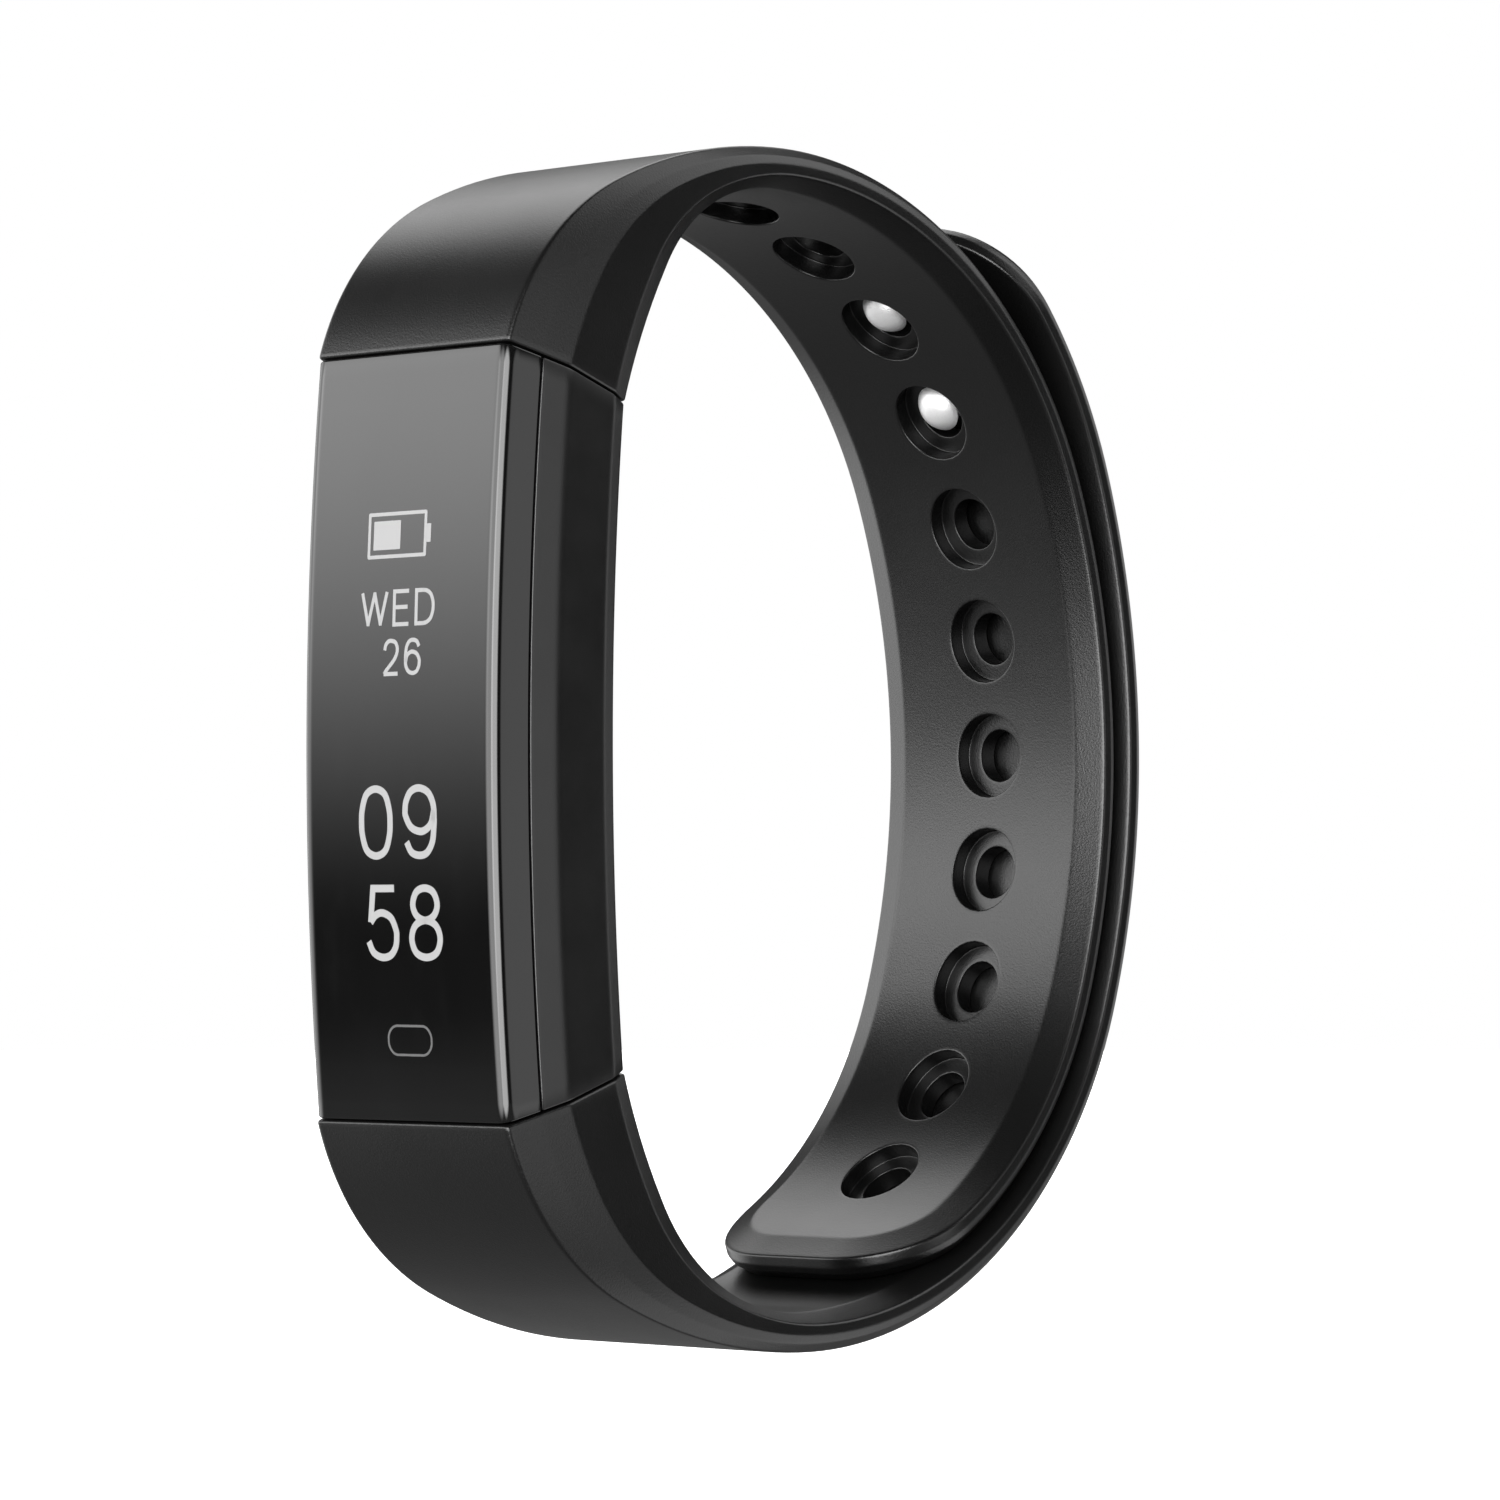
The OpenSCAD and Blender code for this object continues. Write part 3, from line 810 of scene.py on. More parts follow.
@dataclass
class Loop:
    """The band's shape in its own plane, which both straps and the module follow.

    The wrist side of the clasp half is three tangent arcs that turn right from the crown;
    distances along it are measured from the crown. The module's front and back are shallow
    parabolas, and each strap leaves the module's end in two tangent arcs. A section's insets
    say how far its corners lie inside the half width, and its shares how deep they lie.
    """

    half_w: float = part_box("hole_strap_top")[1].x / MM
    strap_t: float = 2.2
    strap_gap: float = 0.12
    seam_gap: float = 0.12
    crown: tuple[float, float] = (-6.4, 30.8)
    radii: tuple[float, float, float] = (24.5, 43.2, 22.5)
    turns: tuple[float, float, float] = (69.0, 39.0, 72.0)
    front_y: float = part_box("display_lens")[0].y / MM
    module_t: float = 9.1
    seam_out: tuple[float, float] = (-27.5, 20.7)
    seam_h: float = 73.0
    seam_depth: float = 9.3
    module_insets: tuple[float, ...] = (1.0, 0.5, 0.1, 0.5, 1.1)
    lens_share: float = 0.23
    shell_shares: tuple[float, float] = (0.43, 0.85)
    gasket_share: float = 0.015
    strap_insets: tuple[float, ...] = (0.8, 0.2, 0.0, 0.0, 1.8)
    strap_shares: tuple[float, ...] = (0.0, 0.25, 0.45, 0.72, 1.0)
    flex_s: float = 47.0
    flare: float = 0.0018

    def __post_init__(self) -> None:
        """Works out the two sections, and the arcs' centres, starts and headings."""
        self.module = Section(self.half_w - np.array(self.module_insets),
                              np.array([0, self.lens_share, *self.shell_shares, 1]))
        self.strap = Section(self.half_w - np.array(self.strap_insets),
                             np.array(self.strap_shares))
        self.r = np.array(self.radii)
        self.heading = -np.concatenate([[0], np.cumsum(self.turns)[:2]])
        self.start = np.concatenate([[0], np.cumsum(self.r * np.radians(self.turns))])
        self.length = float(self.start[3])
        centre = np.array(self.crown) + self.r[0] * right(0)
        centres = [centre]
        for k in (1, 2):
            centre = centre + (self.r[k] - self.r[k - 1]) * right(self.heading[k])
            centres.append(centre)
        self.centre = np.array(centres)
        self.seam_in = np.array(self.seam_out) + self.seam_depth * right(self.seam_h)
        self.sag = (self.seam_out[0] - self.front_y,
                    float(self.seam_in[0]) - self.front_y - self.module_t)

    def on_loop(self, x: Array, s: Array, rise: Array) -> Array:
        """Points on the clasp half of the loop.

        Args:
            x: Places across the band.
            s: Distances from the crown along the wrist side.
            rise: Heights above the wrist side.

        Returns:
            Points in space; the last axis has length 3.
        """
        x, s, rise = np.broadcast_arrays(x, s, rise)
        arc = np.clip(np.searchsorted(self.start, s, side="right") - 1, 0, 2)
        heading = self.heading[arc] - np.degrees((s - self.start[arc]) / self.r[arc])
        plane = self.centre[arc] - (self.r[arc] + rise)[..., None] * right(heading)
        return np.concatenate([x[..., None], plane], axis=-1)

    def on_peg_strap(self, x: Array, s: Array, rise: Array) -> Array:
        """Points on the peg strap, which lies outside the hole strap.

        It follows the loop up to flex_s. From there to its tip it stands off: each arc keeps
        its length but its curvature is less by flare.

        Args:
            x: Places across the band.
            s: Distances from the crown along the loop's wrist side.
            rise: Heights above the peg strap's own wrist side.

        Returns:
            Points in space; the last axis has length 3.
        """
        x, s, rise = np.broadcast_arrays(x, s, rise)
        lift = self.strap_t + self.strap_gap
        points = self.on_loop(x, s, rise + lift)
        centre, radius = self.centre[1], self.r[1] + lift
        heading = self.heading[1] - math.degrees((self.flex_s - self.start[1]) / self.r[1])
        for arc, end in ((1, self.flex_s), (0, self.start[1])):
            flat_r = 1 / (1 / (self.r[arc] + lift) - self.flare)
            centre = centre + (flat_r - radius) * right(heading)
            stretch = (self.r[arc] + lift) / self.r[arc]
            turned = heading + np.degrees((end - s) * stretch / flat_r)
            plane = centre - (flat_r + rise)[..., None] * right(turned)
            flat = np.concatenate([x[..., None], plane], axis=-1)
            points = np.where((s < end)[..., None], flat, points)
            heading = heading + math.degrees((end - self.start[arc]) * stretch / flat_r)
            radius = flat_r
        return points

    def display_y(self, z: Array) -> Array:
        """The front of the lens: front_y plus its sag times (z / half height) squared."""
        return self.front_y + self.sag[0] * (z / self.seam_out[1]) ** 2


# ---------------------------------------------------------------- straps


@dataclass
class Strap:
    """One strap: a tapered, socketed sleeve at the module, then an even strap.

    The even part is laid on the loop by the distance u from the end of the taper. The meets
    are the headings at which each side's two arcs join, and row_gap is about the distance
    between rows of points along the even part.
    """

    loop: Loop
    below: bool
    tongue_w: float = 12.0
    socket_depths: tuple[float, float] = (5.45, 8.15)
    socket_l: float = 10.8
    tip_round: float = 5.9
    columns: int = 16
    socket_slack: float = 0.1
    outer_meet: float = 25.0
    wrist_meet: float = 60.0
    corner_steps: int = 18
    row_gap: float = 0.8
    end_ease: float = 0.14
    taper_cuts: tuple[float, ...] = (0.22, 0.16, 0.14, 0.16, 0.2)
    strap_cuts: tuple[float, ...] = (0.16, 0.1, 0.1, 0.14, 0.16)

    def __post_init__(self) -> None:
        """Places the ends of the taper, which is drawn upwards and turned over if it is below."""
        loop = self.loop
        self.wrist_end = np.array(loop.crown)
        if self.below:
            lift = loop.strap_t + loop.strap_gap
            bottom = loop.centre[2] - (loop.r[2] + lift) * right(-180)
            self.wrist_end = bottom * (1, -1)
        self.outer_end = self.wrist_end + (0, loop.strap_t)

    def on_strap(self, x: Array, u: Array, rise: Array) -> Array:
        """Points at distance u along the even strap, rise above its wrist side."""
        if self.below:
            return self.loop.on_peg_strap(x, self.loop.length - u, rise)
        return self.loop.on_loop(x, u, rise)

    def taper(self, skin: Skin, steps: int = 46) -> None:
        """Adds the taper and the socket in its end.

        Rows follow the heading from the seam's to 0; the section changes evenly with it. The
        socket is a box sunk in the end, joined to the outline by rays from its middle.

        Args:
            skin: Takes the patches.
            steps: Rows along the taper.
        """
        loop = self.loop
        headings = np.linspace(loop.seam_h, 0, steps + 1)[1:]
        offset, inset = end_easing(self.end_ease)
        at_seam = (offset + loop.seam_gap)[:, None] * ahead(loop.seam_h)
        outer = np.concatenate([loop.seam_out + at_seam, biarc(
            np.array(loop.seam_out), self.outer_end, loop.seam_h, self.outer_meet, headings)])
        wrist = np.concatenate([loop.seam_in + at_seam, biarc(
            loop.seam_in, self.wrist_end, loop.seam_h, self.wrist_meet, headings)])
        amount = np.concatenate([np.zeros(len(offset)), 1 - headings / loop.seam_h])
        half, share = loop.module.toward(loop.strap, amount)
        thick = np.linalg.norm(wrist - outer, axis=-1)
        cuts = np.array(self.taper_cuts) * (1 - amount)[:, None] \
            + np.array(self.strap_cuts) * amount[:, None]
        pulled = np.concatenate([inset, np.zeros(steps)])
        rows = np.concatenate([
            outline_rows(half[k:k + 1], share[k:k + 1], thick[k:k + 1], cuts[k], pulled[k])
            for k in range(len(thick))])
        section = whole_outline(rows, self.columns)
        body = lay(section, outer, wrist, thick)
        self._add(skin, body, wrap=True)
        sink_box(lambda points: self._add(skin, points, wrap=True), section[0],
                 (self.tongue_w / 2 + self.socket_slack, *self.socket_depths),
                 self.socket_l, outer[0], right(loop.seam_h), ahead(loop.seam_h))

    def _add(self, skin: Skin, points: Array, **how: Any) -> None:
        """Adds a patch, turned over for the lower strap."""
        skin.patch(points * (1, 1, -1) if self.below else points, **how)

    def even(self, skin: Skin, start: float, end: float, tip: bool,
             holes: "HoleRow | None" = None) -> None:
        """Adds the even strap, with a rounded tip if it ends there.

        The edge is one profile carried along the strap's outline: up one side, round the
        tip's two corners and down the other. The two faces fill what the profile leaves.

        Args:
            skin: Takes the patches.
            start: Distance u where this length starts.
            end: Distance u where it ends.
            tip: Rounds the end as the strap's tip.
            holes: The holes through it, if any.
        """
        loop, columns = self.loop, self.columns
        thick = loop.strap_t
        profile = outline_rows(loop.strap.half[None], loop.strap.share[None],
                               np.array([thick]), self.strap_cuts)[0]
        inset, rise = loop.half_w - profile[:, 0], thick - profile[:, 1]
        stop = end - self.tip_round if tip else end
        marks = [start, *holes.rows()[[0, -1]], stop] if holes else [start, stop]
        runs = [np.linspace(a, b, max(2, int((b - a) / self.row_gap) + 2))
                for a, b in zip(marks, marks[1:])]
        if holes:
            runs[1] = holes.rows()
        side = np.concatenate([runs[0]] + [run[1:] for run in runs[1:]])
        centre_x = loop.half_w - self.tip_round
        turn = np.radians(np.linspace(0, 90, self.corner_steps + 1))[1:]
        bend = (np.cos(turn), np.sin(turn))
        base = np.stack([np.full_like(side, loop.half_w), side, np.ones_like(side),
                         np.zeros_like(side)], -1)
        if tip:
            corner = np.stack([centre_x + self.tip_round * bend[0],
                               stop + self.tip_round * bend[1], *bend], -1)
            edge_x = centre_x * np.linspace(1, -1, columns + 1)[1:-1]
            front = np.stack([edge_x, np.full_like(edge_x, end), np.zeros_like(edge_x),
                              np.ones_like(edge_x)], -1)
            outline = np.concatenate([base, corner])
            outline = np.concatenate([outline, front, outline[::-1] * (-1, 1, -1, 1)])
            self._band(skin, outline, inset, rise)
        else:
            self._band(skin, base, inset, rise)
            self._band(skin, base * (-1, 1, -1, 1), inset, rise)
        for edge, height, outside in ((inset[0], rise[0], True), (inset[-1], rise[-1], False)):
            across = np.linspace(-1, 1, columns + 1)
            half = np.full_like(side, loop.half_w - edge)
            along = side
            if tip:
                half = np.concatenate([half, centre_x + (self.tip_round - edge) * bend[0]])
                along = np.concatenate([side, stop + (self.tip_round - edge) * bend[1]])
            grid = self.on_strap(half[:, None] * across, along[:, None], height)
            keep = np.ones((len(along) - 1, columns), bool)
            if holes:
                first = len(runs[0]) - 1
                keep[first:first + holes.count * holes.steps] = False
                for patch in holes.face(self, loop.half_w - edge, height, outside):
                    skin.patch(patch, wrap=True)
            skin.patch(grid, keep=keep)
        if holes:
            for wall in holes.walls(self):
                skin.patch(wrap=True, points=wall)

    def _band(self, skin: Skin, outline: Array, inset: Array, rise: Array) -> None:
        """Carries the edge profile along an outline.

        Args:
            skin: Takes the patch.
            outline: Rows of x, u and the outward normal's x and u.
            inset: How far each point of the profile lies inside the outline.
            rise: Its height above the wrist side.
        """
        x = outline[:, None, 0] - inset * outline[:, None, 2]
        u = outline[:, None, 1] - inset * outline[:, None, 3]
        skin.patch(self.on_strap(x, u, rise[None]))

    def cut_face(self, skin: Skin, u: float) -> None:
        """Closes the even strap where it is divided.

        Args:
            skin: Takes the fan.
            u: Distance of the division.
        """
        loop = self.loop
        half = outline_rows(loop.strap.half[None], loop.strap.share[None],
                            np.array([loop.strap_t]), self.strap_cuts)
        section = whole_outline(half, self.columns)[0]
        skin.fan(self.on_strap(section[:, 0], np.full(len(section), u),
                               loop.strap_t - section[:, 1]))


def sink_box(add: Callable[[Array], None], outline: Array, box: tuple[float, float, float],
             depth: float, origin: Array, down: Array, inward: Array) -> None:
    """Closes an end face with a box sunk in it.

    Args:
        add: Takes each ring patch.
        outline: The end's (x, depth) loop.
        box: Half width of the box and its two depths.
        depth: How far the box is sunk.
        origin: Plane point of depth 0.
        down: Plane direction of growing depth.
        inward: Plane direction into the piece.
    """
    half_x, low, high = box
    middle = np.array([0.0, (low + high) / 2])
    half_d = (high - low) / 2
    ray = outline - middle
    stretch = 1 / np.maximum(np.abs(ray[:, 0]) / half_x, np.abs(ray[:, 1]) / half_d)
    rim = middle + ray * stretch[:, None]
    corners = middle + np.array([[a * half_x, b * half_d] for a in (-1, 1) for b in (-1, 1)])
    nearest = np.linalg.norm(rim[None] - corners[:, None], axis=-1).argmin(axis=1)
    rim[nearest] = corners
    hub = np.broadcast_to(middle, rim.shape)

    def lift(loop: Array, sunk: float) -> Array:
        """Puts (x, depth) points in space, sunk into the piece."""
        plane = origin + loop[:, 1:] * down + sunk * inward
        return np.concatenate([loop[:, :1], plane], axis=-1)

    add(np.stack([lift(outline, 0), lift(rim, 0), lift(rim, depth), lift(hub, depth)]))


@dataclass
class HoleRow:
    """The row of counterbored holes in the hole strap.

    Each hole sits in its own cell of the faces: rings of points run from the hole's circle to
    the cell's edge, and a wall is the hole's profile turned about its axis. ring_shares says
    how far each ring lies towards the edge, and flange how far the profile runs on over the
    faces, so that its outer corners can be eased.
    """

    first: float = 4.15
    pitch: float = 6.8
    count: int = 11
    bore_r: float = 1.5
    counterbore_r: float = 2.45
    counterbore_t: float = 1.0
    steps: int = 12
    ease: float = 0.1
    last_half: float = 2.9
    flange: float = 1.0
    ring_shares: tuple[float, ...] = (0.0, 0.1, 0.3, 0.6, 1.0)

    def profile(self, thick: float) -> Array:
        """Eased (radius, rise) profile of a hole from the wrist side to the outside."""
        line = np.array([[self.counterbore_r + self.flange, 0], [self.counterbore_r, 0],
                         [self.counterbore_r, self.counterbore_t],
                         [self.bore_r, self.counterbore_t],
                         [self.bore_r, thick], [self.bore_r + self.flange, thick]])
        return eased(line[None], (self.ease, self.ease * 0.6, self.ease * 0.8, self.ease))[0]

    def edge(self, columns: int) -> Array:
        """The cell's edge, corner first, once round.

        Args:
            columns: Faces across the strap.

        Returns:
            Points (x, s), where 1 stands for the cell's half width and half length.
        """
        x = np.linspace(-1, 1, columns + 1)[:-1]
        s = np.linspace(-1, 1, self.steps + 1)[:-1]
        one = np.ones_like
        return np.concatenate([np.stack([x, -one(x)], -1), np.stack([one(s), s], -1),
                               np.stack([-x, one(x)], -1), np.stack([-one(s), -s], -1)])

    def spokes(self, strap: Strap) -> Array:
        """Unit vectors from the hole's axis to the edge points of a cell of the wrist side."""
        ray = self.edge(strap.columns) * (strap.loop.strap.half[-1], self.pitch / 2)
        return ray / np.linalg.norm(ray, axis=-1, keepdims=True)

    def centres(self) -> Array:
        """Distances of the holes along the strap."""
        return self.first + self.pitch * np.arange(self.count)

    def rows(self) -> Array:
        """Rows of the cells; the last cell ends last_half beyond its hole.

        Returns:
            Their distances along the strap.
        """
        cells = self.centres()[:, None] + self.pitch / 2 * np.linspace(-1, 1, self.steps + 1)[:-1]
        last = self.centres()[-1]
        rows = np.append(cells.ravel(), last + self.pitch / 2)
        return np.where(rows > last, last + (rows - last) * 2 * self.last_half / self.pitch, rows)

    def face(self, strap: Strap, half: float, rise: float, outside: bool) -> list[Array]:
        """Cells of one face.

        Args:
            strap: The strap that the holes go through.
            half: Half width of the face.
            rise: Its height above the wrist side.
            outside: True for the outside, False for the wrist side.

        Returns:
            A patch for each hole.
        """
        rim = self.profile(strap.loop.strap_t)[-1 if outside else 0, 0]
        share = np.array(self.ring_shares)[:, None, None]
        cell = self.edge(strap.columns) * (half, self.pitch / 2)
        patches = []
        for s in self.centres():
            if s == self.centres()[-1]:
                beyond = (cell > 0) & [False, True]
                cell = np.where(beyond, cell * 2 * self.last_half / self.pitch, cell)
            ring = (1 - share) * rim * self.spokes(strap) + share * cell
            patches.append(strap.on_strap(ring[..., 0], ring[..., 1] + s, rise))
        return patches

    def walls(self, strap: Strap) -> list[Array]:
        """The holes' turned walls.

        Args:
            strap: The strap that the holes go through.

        Returns:
            A patch for each hole.
        """
        profile, spokes = self.profile(strap.loop.strap_t), self.spokes(strap)
        x = profile[:, :1] * spokes[:, 0]
        s = profile[:, :1] * spokes[:, 1]
        return [strap.on_strap(x, s + at, profile[:, 1:]) for at in self.centres()]


@dataclass
class Straps:
    """Both straps and the pegs that fasten them.

    The pegs stand peg_slack off their holes' centres, with heads sunk by peg_sunk.
    """

    loop: Loop
    holes: HoleRow
    hole_tip_u: float = 81.0
    peg_tip_s: float = 14.35
    split_s: float = 60.0
    peg_holes: tuple[int, ...] = (2, 3)
    peg_r: float = 1.4
    neck_r: float = 1.1
    neck_top: float = 4.1
    peg_slack: float = 0.35
    peg_sunk: float = 0.15
    dome_rows: int = 14

    def build(self) -> None:
        """Builds both straps in place, and the pegs, which ride on the clasp tip."""
        loop = self.loop
        upper = Strap(loop, below=False)
        skin = Skin()
        upper.taper(skin)
        upper.even(skin, 0.0, self.hole_tip_u, True, self.holes)
        piece = skin.build("hole_strap", Part.STRAP, "strap_black", 50.0)
        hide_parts("hole_strap_sleeve", "hole_strap_bend", "hole_strap_top",
                    "hole_strap_latch", "hole_strap_tail")
        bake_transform(piece)
        lower = Strap(loop, below=True, socket_l=8.8)
        split_u, tip_u = loop.length - self.split_s, loop.length - self.peg_tip_s
        skin = Skin()
        lower.taper(skin)
        lower.even(skin, 0.0, split_u, False)
        lower.cut_face(skin, split_u)
        piece = skin.build("peg_strap_lower", Part.STRAP, "strap_black", 50.0)
        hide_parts("peg_strap_sleeve", "peg_strap_bend", "peg_strap_back")
        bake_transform(piece)
        skin = Skin()
        lower.even(skin, split_u, tip_u, True)
        lower.cut_face(skin, split_u)
        piece = skin.build("peg_strap_upper", Part.STRAP, "strap_black", 50.0)
        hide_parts("peg_strap_flex", "peg_strap_tip")
        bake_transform(piece)
        self.pegs()

    def pegs(self, sides: int = 48) -> None:
        """Builds the turned pegs: a spherical dome, a flat underside, a neck and a buried foot.

        Args:
            sides: Points round a peg.
        """
        head_t = self.holes.counterbore_t - self.peg_sunk
        dome_r = (self.peg_r ** 2 + head_t ** 2) / (2 * head_t)
        angle = np.linspace(0, math.asin(self.peg_r / dome_r), self.dome_rows)
        base = self.holes.counterbore_t
        dome = np.stack([dome_r * np.sin(angle), base - head_t + dome_r * (1 - np.cos(angle))], -1)
        rest = np.array([[self.neck_r, base], [self.neck_r, self.neck_top], [0, self.neck_top]])
        profile = np.concatenate([dome, rest])
        spin = np.linspace(0, 2 * math.pi, sides, endpoint=False)
        x = profile[:, :1] * np.cos(spin)
        s = profile[:, :1] * np.sin(spin)
        skin = Skin()
        for number in self.peg_holes:
            at = self.holes.centres()[number] - self.peg_slack
            skin.patch(self.loop.on_loop(x, s + at, profile[:, 1:]), wrap=True)
        piece = skin.build("clasp_peg_pair", Part.PEG, "peg_silver")
        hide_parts("clasp_pegs")
        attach(piece, "clasp_tip")


# ---------------------------------------------------------------- display module


@dataclass
class Module:
    """The lens, the shell and the readout of the display module.

    Depths of the tongue are measured at the module's end from the outside. The seal's recess
    is seal_grow wider than the tongue all round and seal_t deep.
    """

    loop: Loop
    rows: int = 40
    columns: int = 8
    pocket_z: float = 17.0
    lens_pocket: tuple[float, float] = (6.3, 1.2)
    lens_cuts: tuple[float, float] = (0.65, 0.05)
    shell_pocket_x: float = 6.9
    shell_back_t: float = 1.0
    shell_cuts: tuple[float, ...] = (0.08, 0.3, 0.2, 0.3)
    end_ease: float = 0.12
    tongue_half_w: float = 6.0
    tongue_depths: tuple[float, float] = (5.75, 8.05)
    seal_grow: float = 0.55
    seal_t: float = 0.52
    post_r: float = 1.0
    post_bore_r: float = 0.4
    post_places: tuple[float, float] = (5.4, 14.6)
    post_top_y: float = -23.8
    post_foot: float = 1.2
    post_bore_over: float = 1.0

    def slab(self, low: float, high: float, cuts: tuple[float, ...], pocket_x: float,
             pocket_y: float, pocket_side: int) -> tuple[Skin, Array, Array]:
        """Builds the module's length between two depth shares, with a pocket in one face.

        Rows run along the module; the outside and the wrist side follow their parabolas. The
        pocket is the face's own grid pushed back to a flat floor, with four walls.

        Args:
            low: Depth share of the slab's outside.
            high: Depth share of its wrist side.
            cuts: How far each corner is eased.
            pocket_x: Half width of the pocket.
            pocket_y: Where its floor lies.
            pocket_side: 0 to open it in the outside, -1 in the wrist side.

        Returns:
            The skin, and the outline and the plane frames of the rows.
        """
        loop = self.loop
        share_at = low if pocket_side == 0 else high
        reach = loop.seam_out[1] + share_at * (loop.seam_in[1] - loop.seam_out[1])
        offset, inset = end_easing(self.end_ease)
        edge = 1 - offset / loop.seam_out[1]
        inner = np.linspace(-1, 1, self.rows + 1)[1:-1]
        inner = np.sort(np.concatenate([inner, [-self.pocket_z / reach, self.pocket_z / reach]]))
        v = np.concatenate([-edge, inner, edge[::-1]])
        pulled = np.concatenate([inset, np.zeros(len(inner)), inset[::-1]])
        outer = np.stack([loop.front_y + loop.sag[0] * v ** 2, loop.seam_out[1] * v], -1)
        wrist = np.stack([loop.front_y + loop.module_t + loop.sag[1] * v ** 2,
                          loop.seam_in[1] * v], -1)
        shares = np.array([low] + [d for d in loop.module.share if low < d < high] + [high])
        half = np.interp(shares, loop.module.share, loop.module.half)
        thick = np.linalg.norm(wrist - outer, axis=-1)
        shape = (len(v), len(shares))
        rows = outline_rows(np.broadcast_to(half, shape), np.broadcast_to(shares, shape),
                            thick, cuts, pulled)
        skin = Skin()
        side = lay(rows, outer, wrist, thick)
        skin.patch(side)
        skin.patch(mirrored(side))
        for which in (0, -1):
            inside = pocket_x * np.linspace(-1, 1, self.columns + 1)
            edge_x = side[:, which, :1]
            x = np.concatenate([-edge_x, np.broadcast_to(inside, (len(v), len(inside))), edge_x], 1)
            grid = np.stack([x, *(np.repeat(side[:, which, k:k + 1], x.shape[1], 1)
                                  for k in (1, 2))], -1)
            keep = np.ones((len(v) - 1, x.shape[1] - 1), bool)
            if which == pocket_side:
                z = grid[:, 0, 2]
                held = np.flatnonzero(np.abs(z) <= self.pocket_z + 1e-6)
                top = grid[held[0]:held[-1] + 1, 1:-1]
                keep[held[0]:held[-1], 1:-1] = False
                floor = top.copy()
                floor[..., 1] = pocket_y
                skin.patch(floor)
                for line in (np.s_[0], np.s_[-1]):
                    skin.patch(np.stack([top[line], floor[line]]))
                    skin.patch(np.stack([top[:, line], floor[:, line]]))
            skin.patch(grid, keep=keep)
        return skin, self._ends(rows, inside), np.stack([outer, wrist])

    def _ends(self, rows: Array, inside: Array) -> Array:
        """Outline of an end.

        Args:
            rows: Eased half outlines of the rows.
            inside: Places across the band of the faces' own points.

        Returns:
            Closed loop of (x, depth) points, made from the first row.
        """
        half = rows[0]
        wrist = np.stack([inside[::-1], np.full_like(inside, half[-1, 1])], -1)
        outer = np.stack([inside, np.full_like(inside, half[0, 1])], -1)
        return np.concatenate([half, wrist, half[::-1] * (-1, 1), outer])

    def build(self) -> None:
        """Builds the lens, the shell and the readout, all riding on the tracker."""
        loop = self.loop
        lens, loop_end, frames = self.slab(
            0.0, loop.lens_share, self.lens_cuts, self.lens_pocket[0],
            loop.front_y + self.lens_pocket[1], -1)
        self._close(lens, loop_end, frames, None)
        piece = lens.build("display_glass", Part.LENS, "lens_black", 50.0)
        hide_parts("display_lens")
        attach(piece, "tracker")
        shell, loop_end, frames = self.slab(
            loop.lens_share + loop.gasket_share, 1.0, self.shell_cuts, self.shell_pocket_x,
            loop.front_y + loop.module_t - self.shell_back_t, 0)
        recess = (self.tongue_half_w + self.seal_grow, self.tongue_depths[0] - self.seal_grow,
                  self.tongue_depths[1] + self.seal_grow, self.seal_t)
        self._close(shell, loop_end, frames, recess)
        self.posts(shell)
        piece = shell.build("case_shell", Part.SHELL, "shell_black", 50.0)
        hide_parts("module_shell")
        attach(piece, "tracker")
        Readout(loop).build()

    def _close(self, skin: Skin, outline: Array, frames: Array,
               box: tuple[float, float, float, float] | None) -> None:
        """Closes both ends, flat or with a recess for the seal.

        Args:
            skin: Takes the patches.
            outline: The end's (x, depth) loop.
            frames: Outer and wrist points of the rows.
            box: The recess's half width, two depths and how far it is sunk; None for flat.
        """
        for row, flip in ((0, -1), (-1, 1)):
            outer, wrist = frames[0, row], frames[1, row]
            down = (wrist - outer) / np.linalg.norm(wrist - outer)
            inward = ahead(self.loop.seam_h) * (-1, -flip)
            if box:
                sink_box(lambda points: skin.patch(points, wrap=True), outline, box[:3], box[3],
                         outer, down, inward)
            else:
                plane = outer + outline[:, 1:] * down
                skin.fan(np.concatenate([outline[:, :1], plane], -1))

    def posts(self, skin: Skin, sides: int = 32) -> None:
        """Adds the four screw posts: turned tubes with a blind bore.

        Args:
            skin: Takes the patches.
            sides: Points round a post.
        """
        foot_y = self.loop.front_y + self.loop.module_t - self.post_foot
        end_y = foot_y - self.post_bore_over
        profile = np.array([[0, foot_y], [self.post_r, foot_y], [self.post_r, self.post_top_y],
                            [self.post_bore_r, self.post_top_y],
                            [self.post_bore_r, end_y], [0, end_y]])
        spin = np.linspace(0, 2 * math.pi, sides, endpoint=False)
        turned = np.stack([profile[:, :1] * np.cos(spin),
                           np.repeat(profile[:, 1:], sides, 1),
                           profile[:, :1] * np.sin(spin)], -1)
        post_x, post_z = self.post_places
        for x in (-post_x, post_x):
            for z in (-post_z, post_z):
                skin.patch(turned + (x, 0, z), wrap=True)


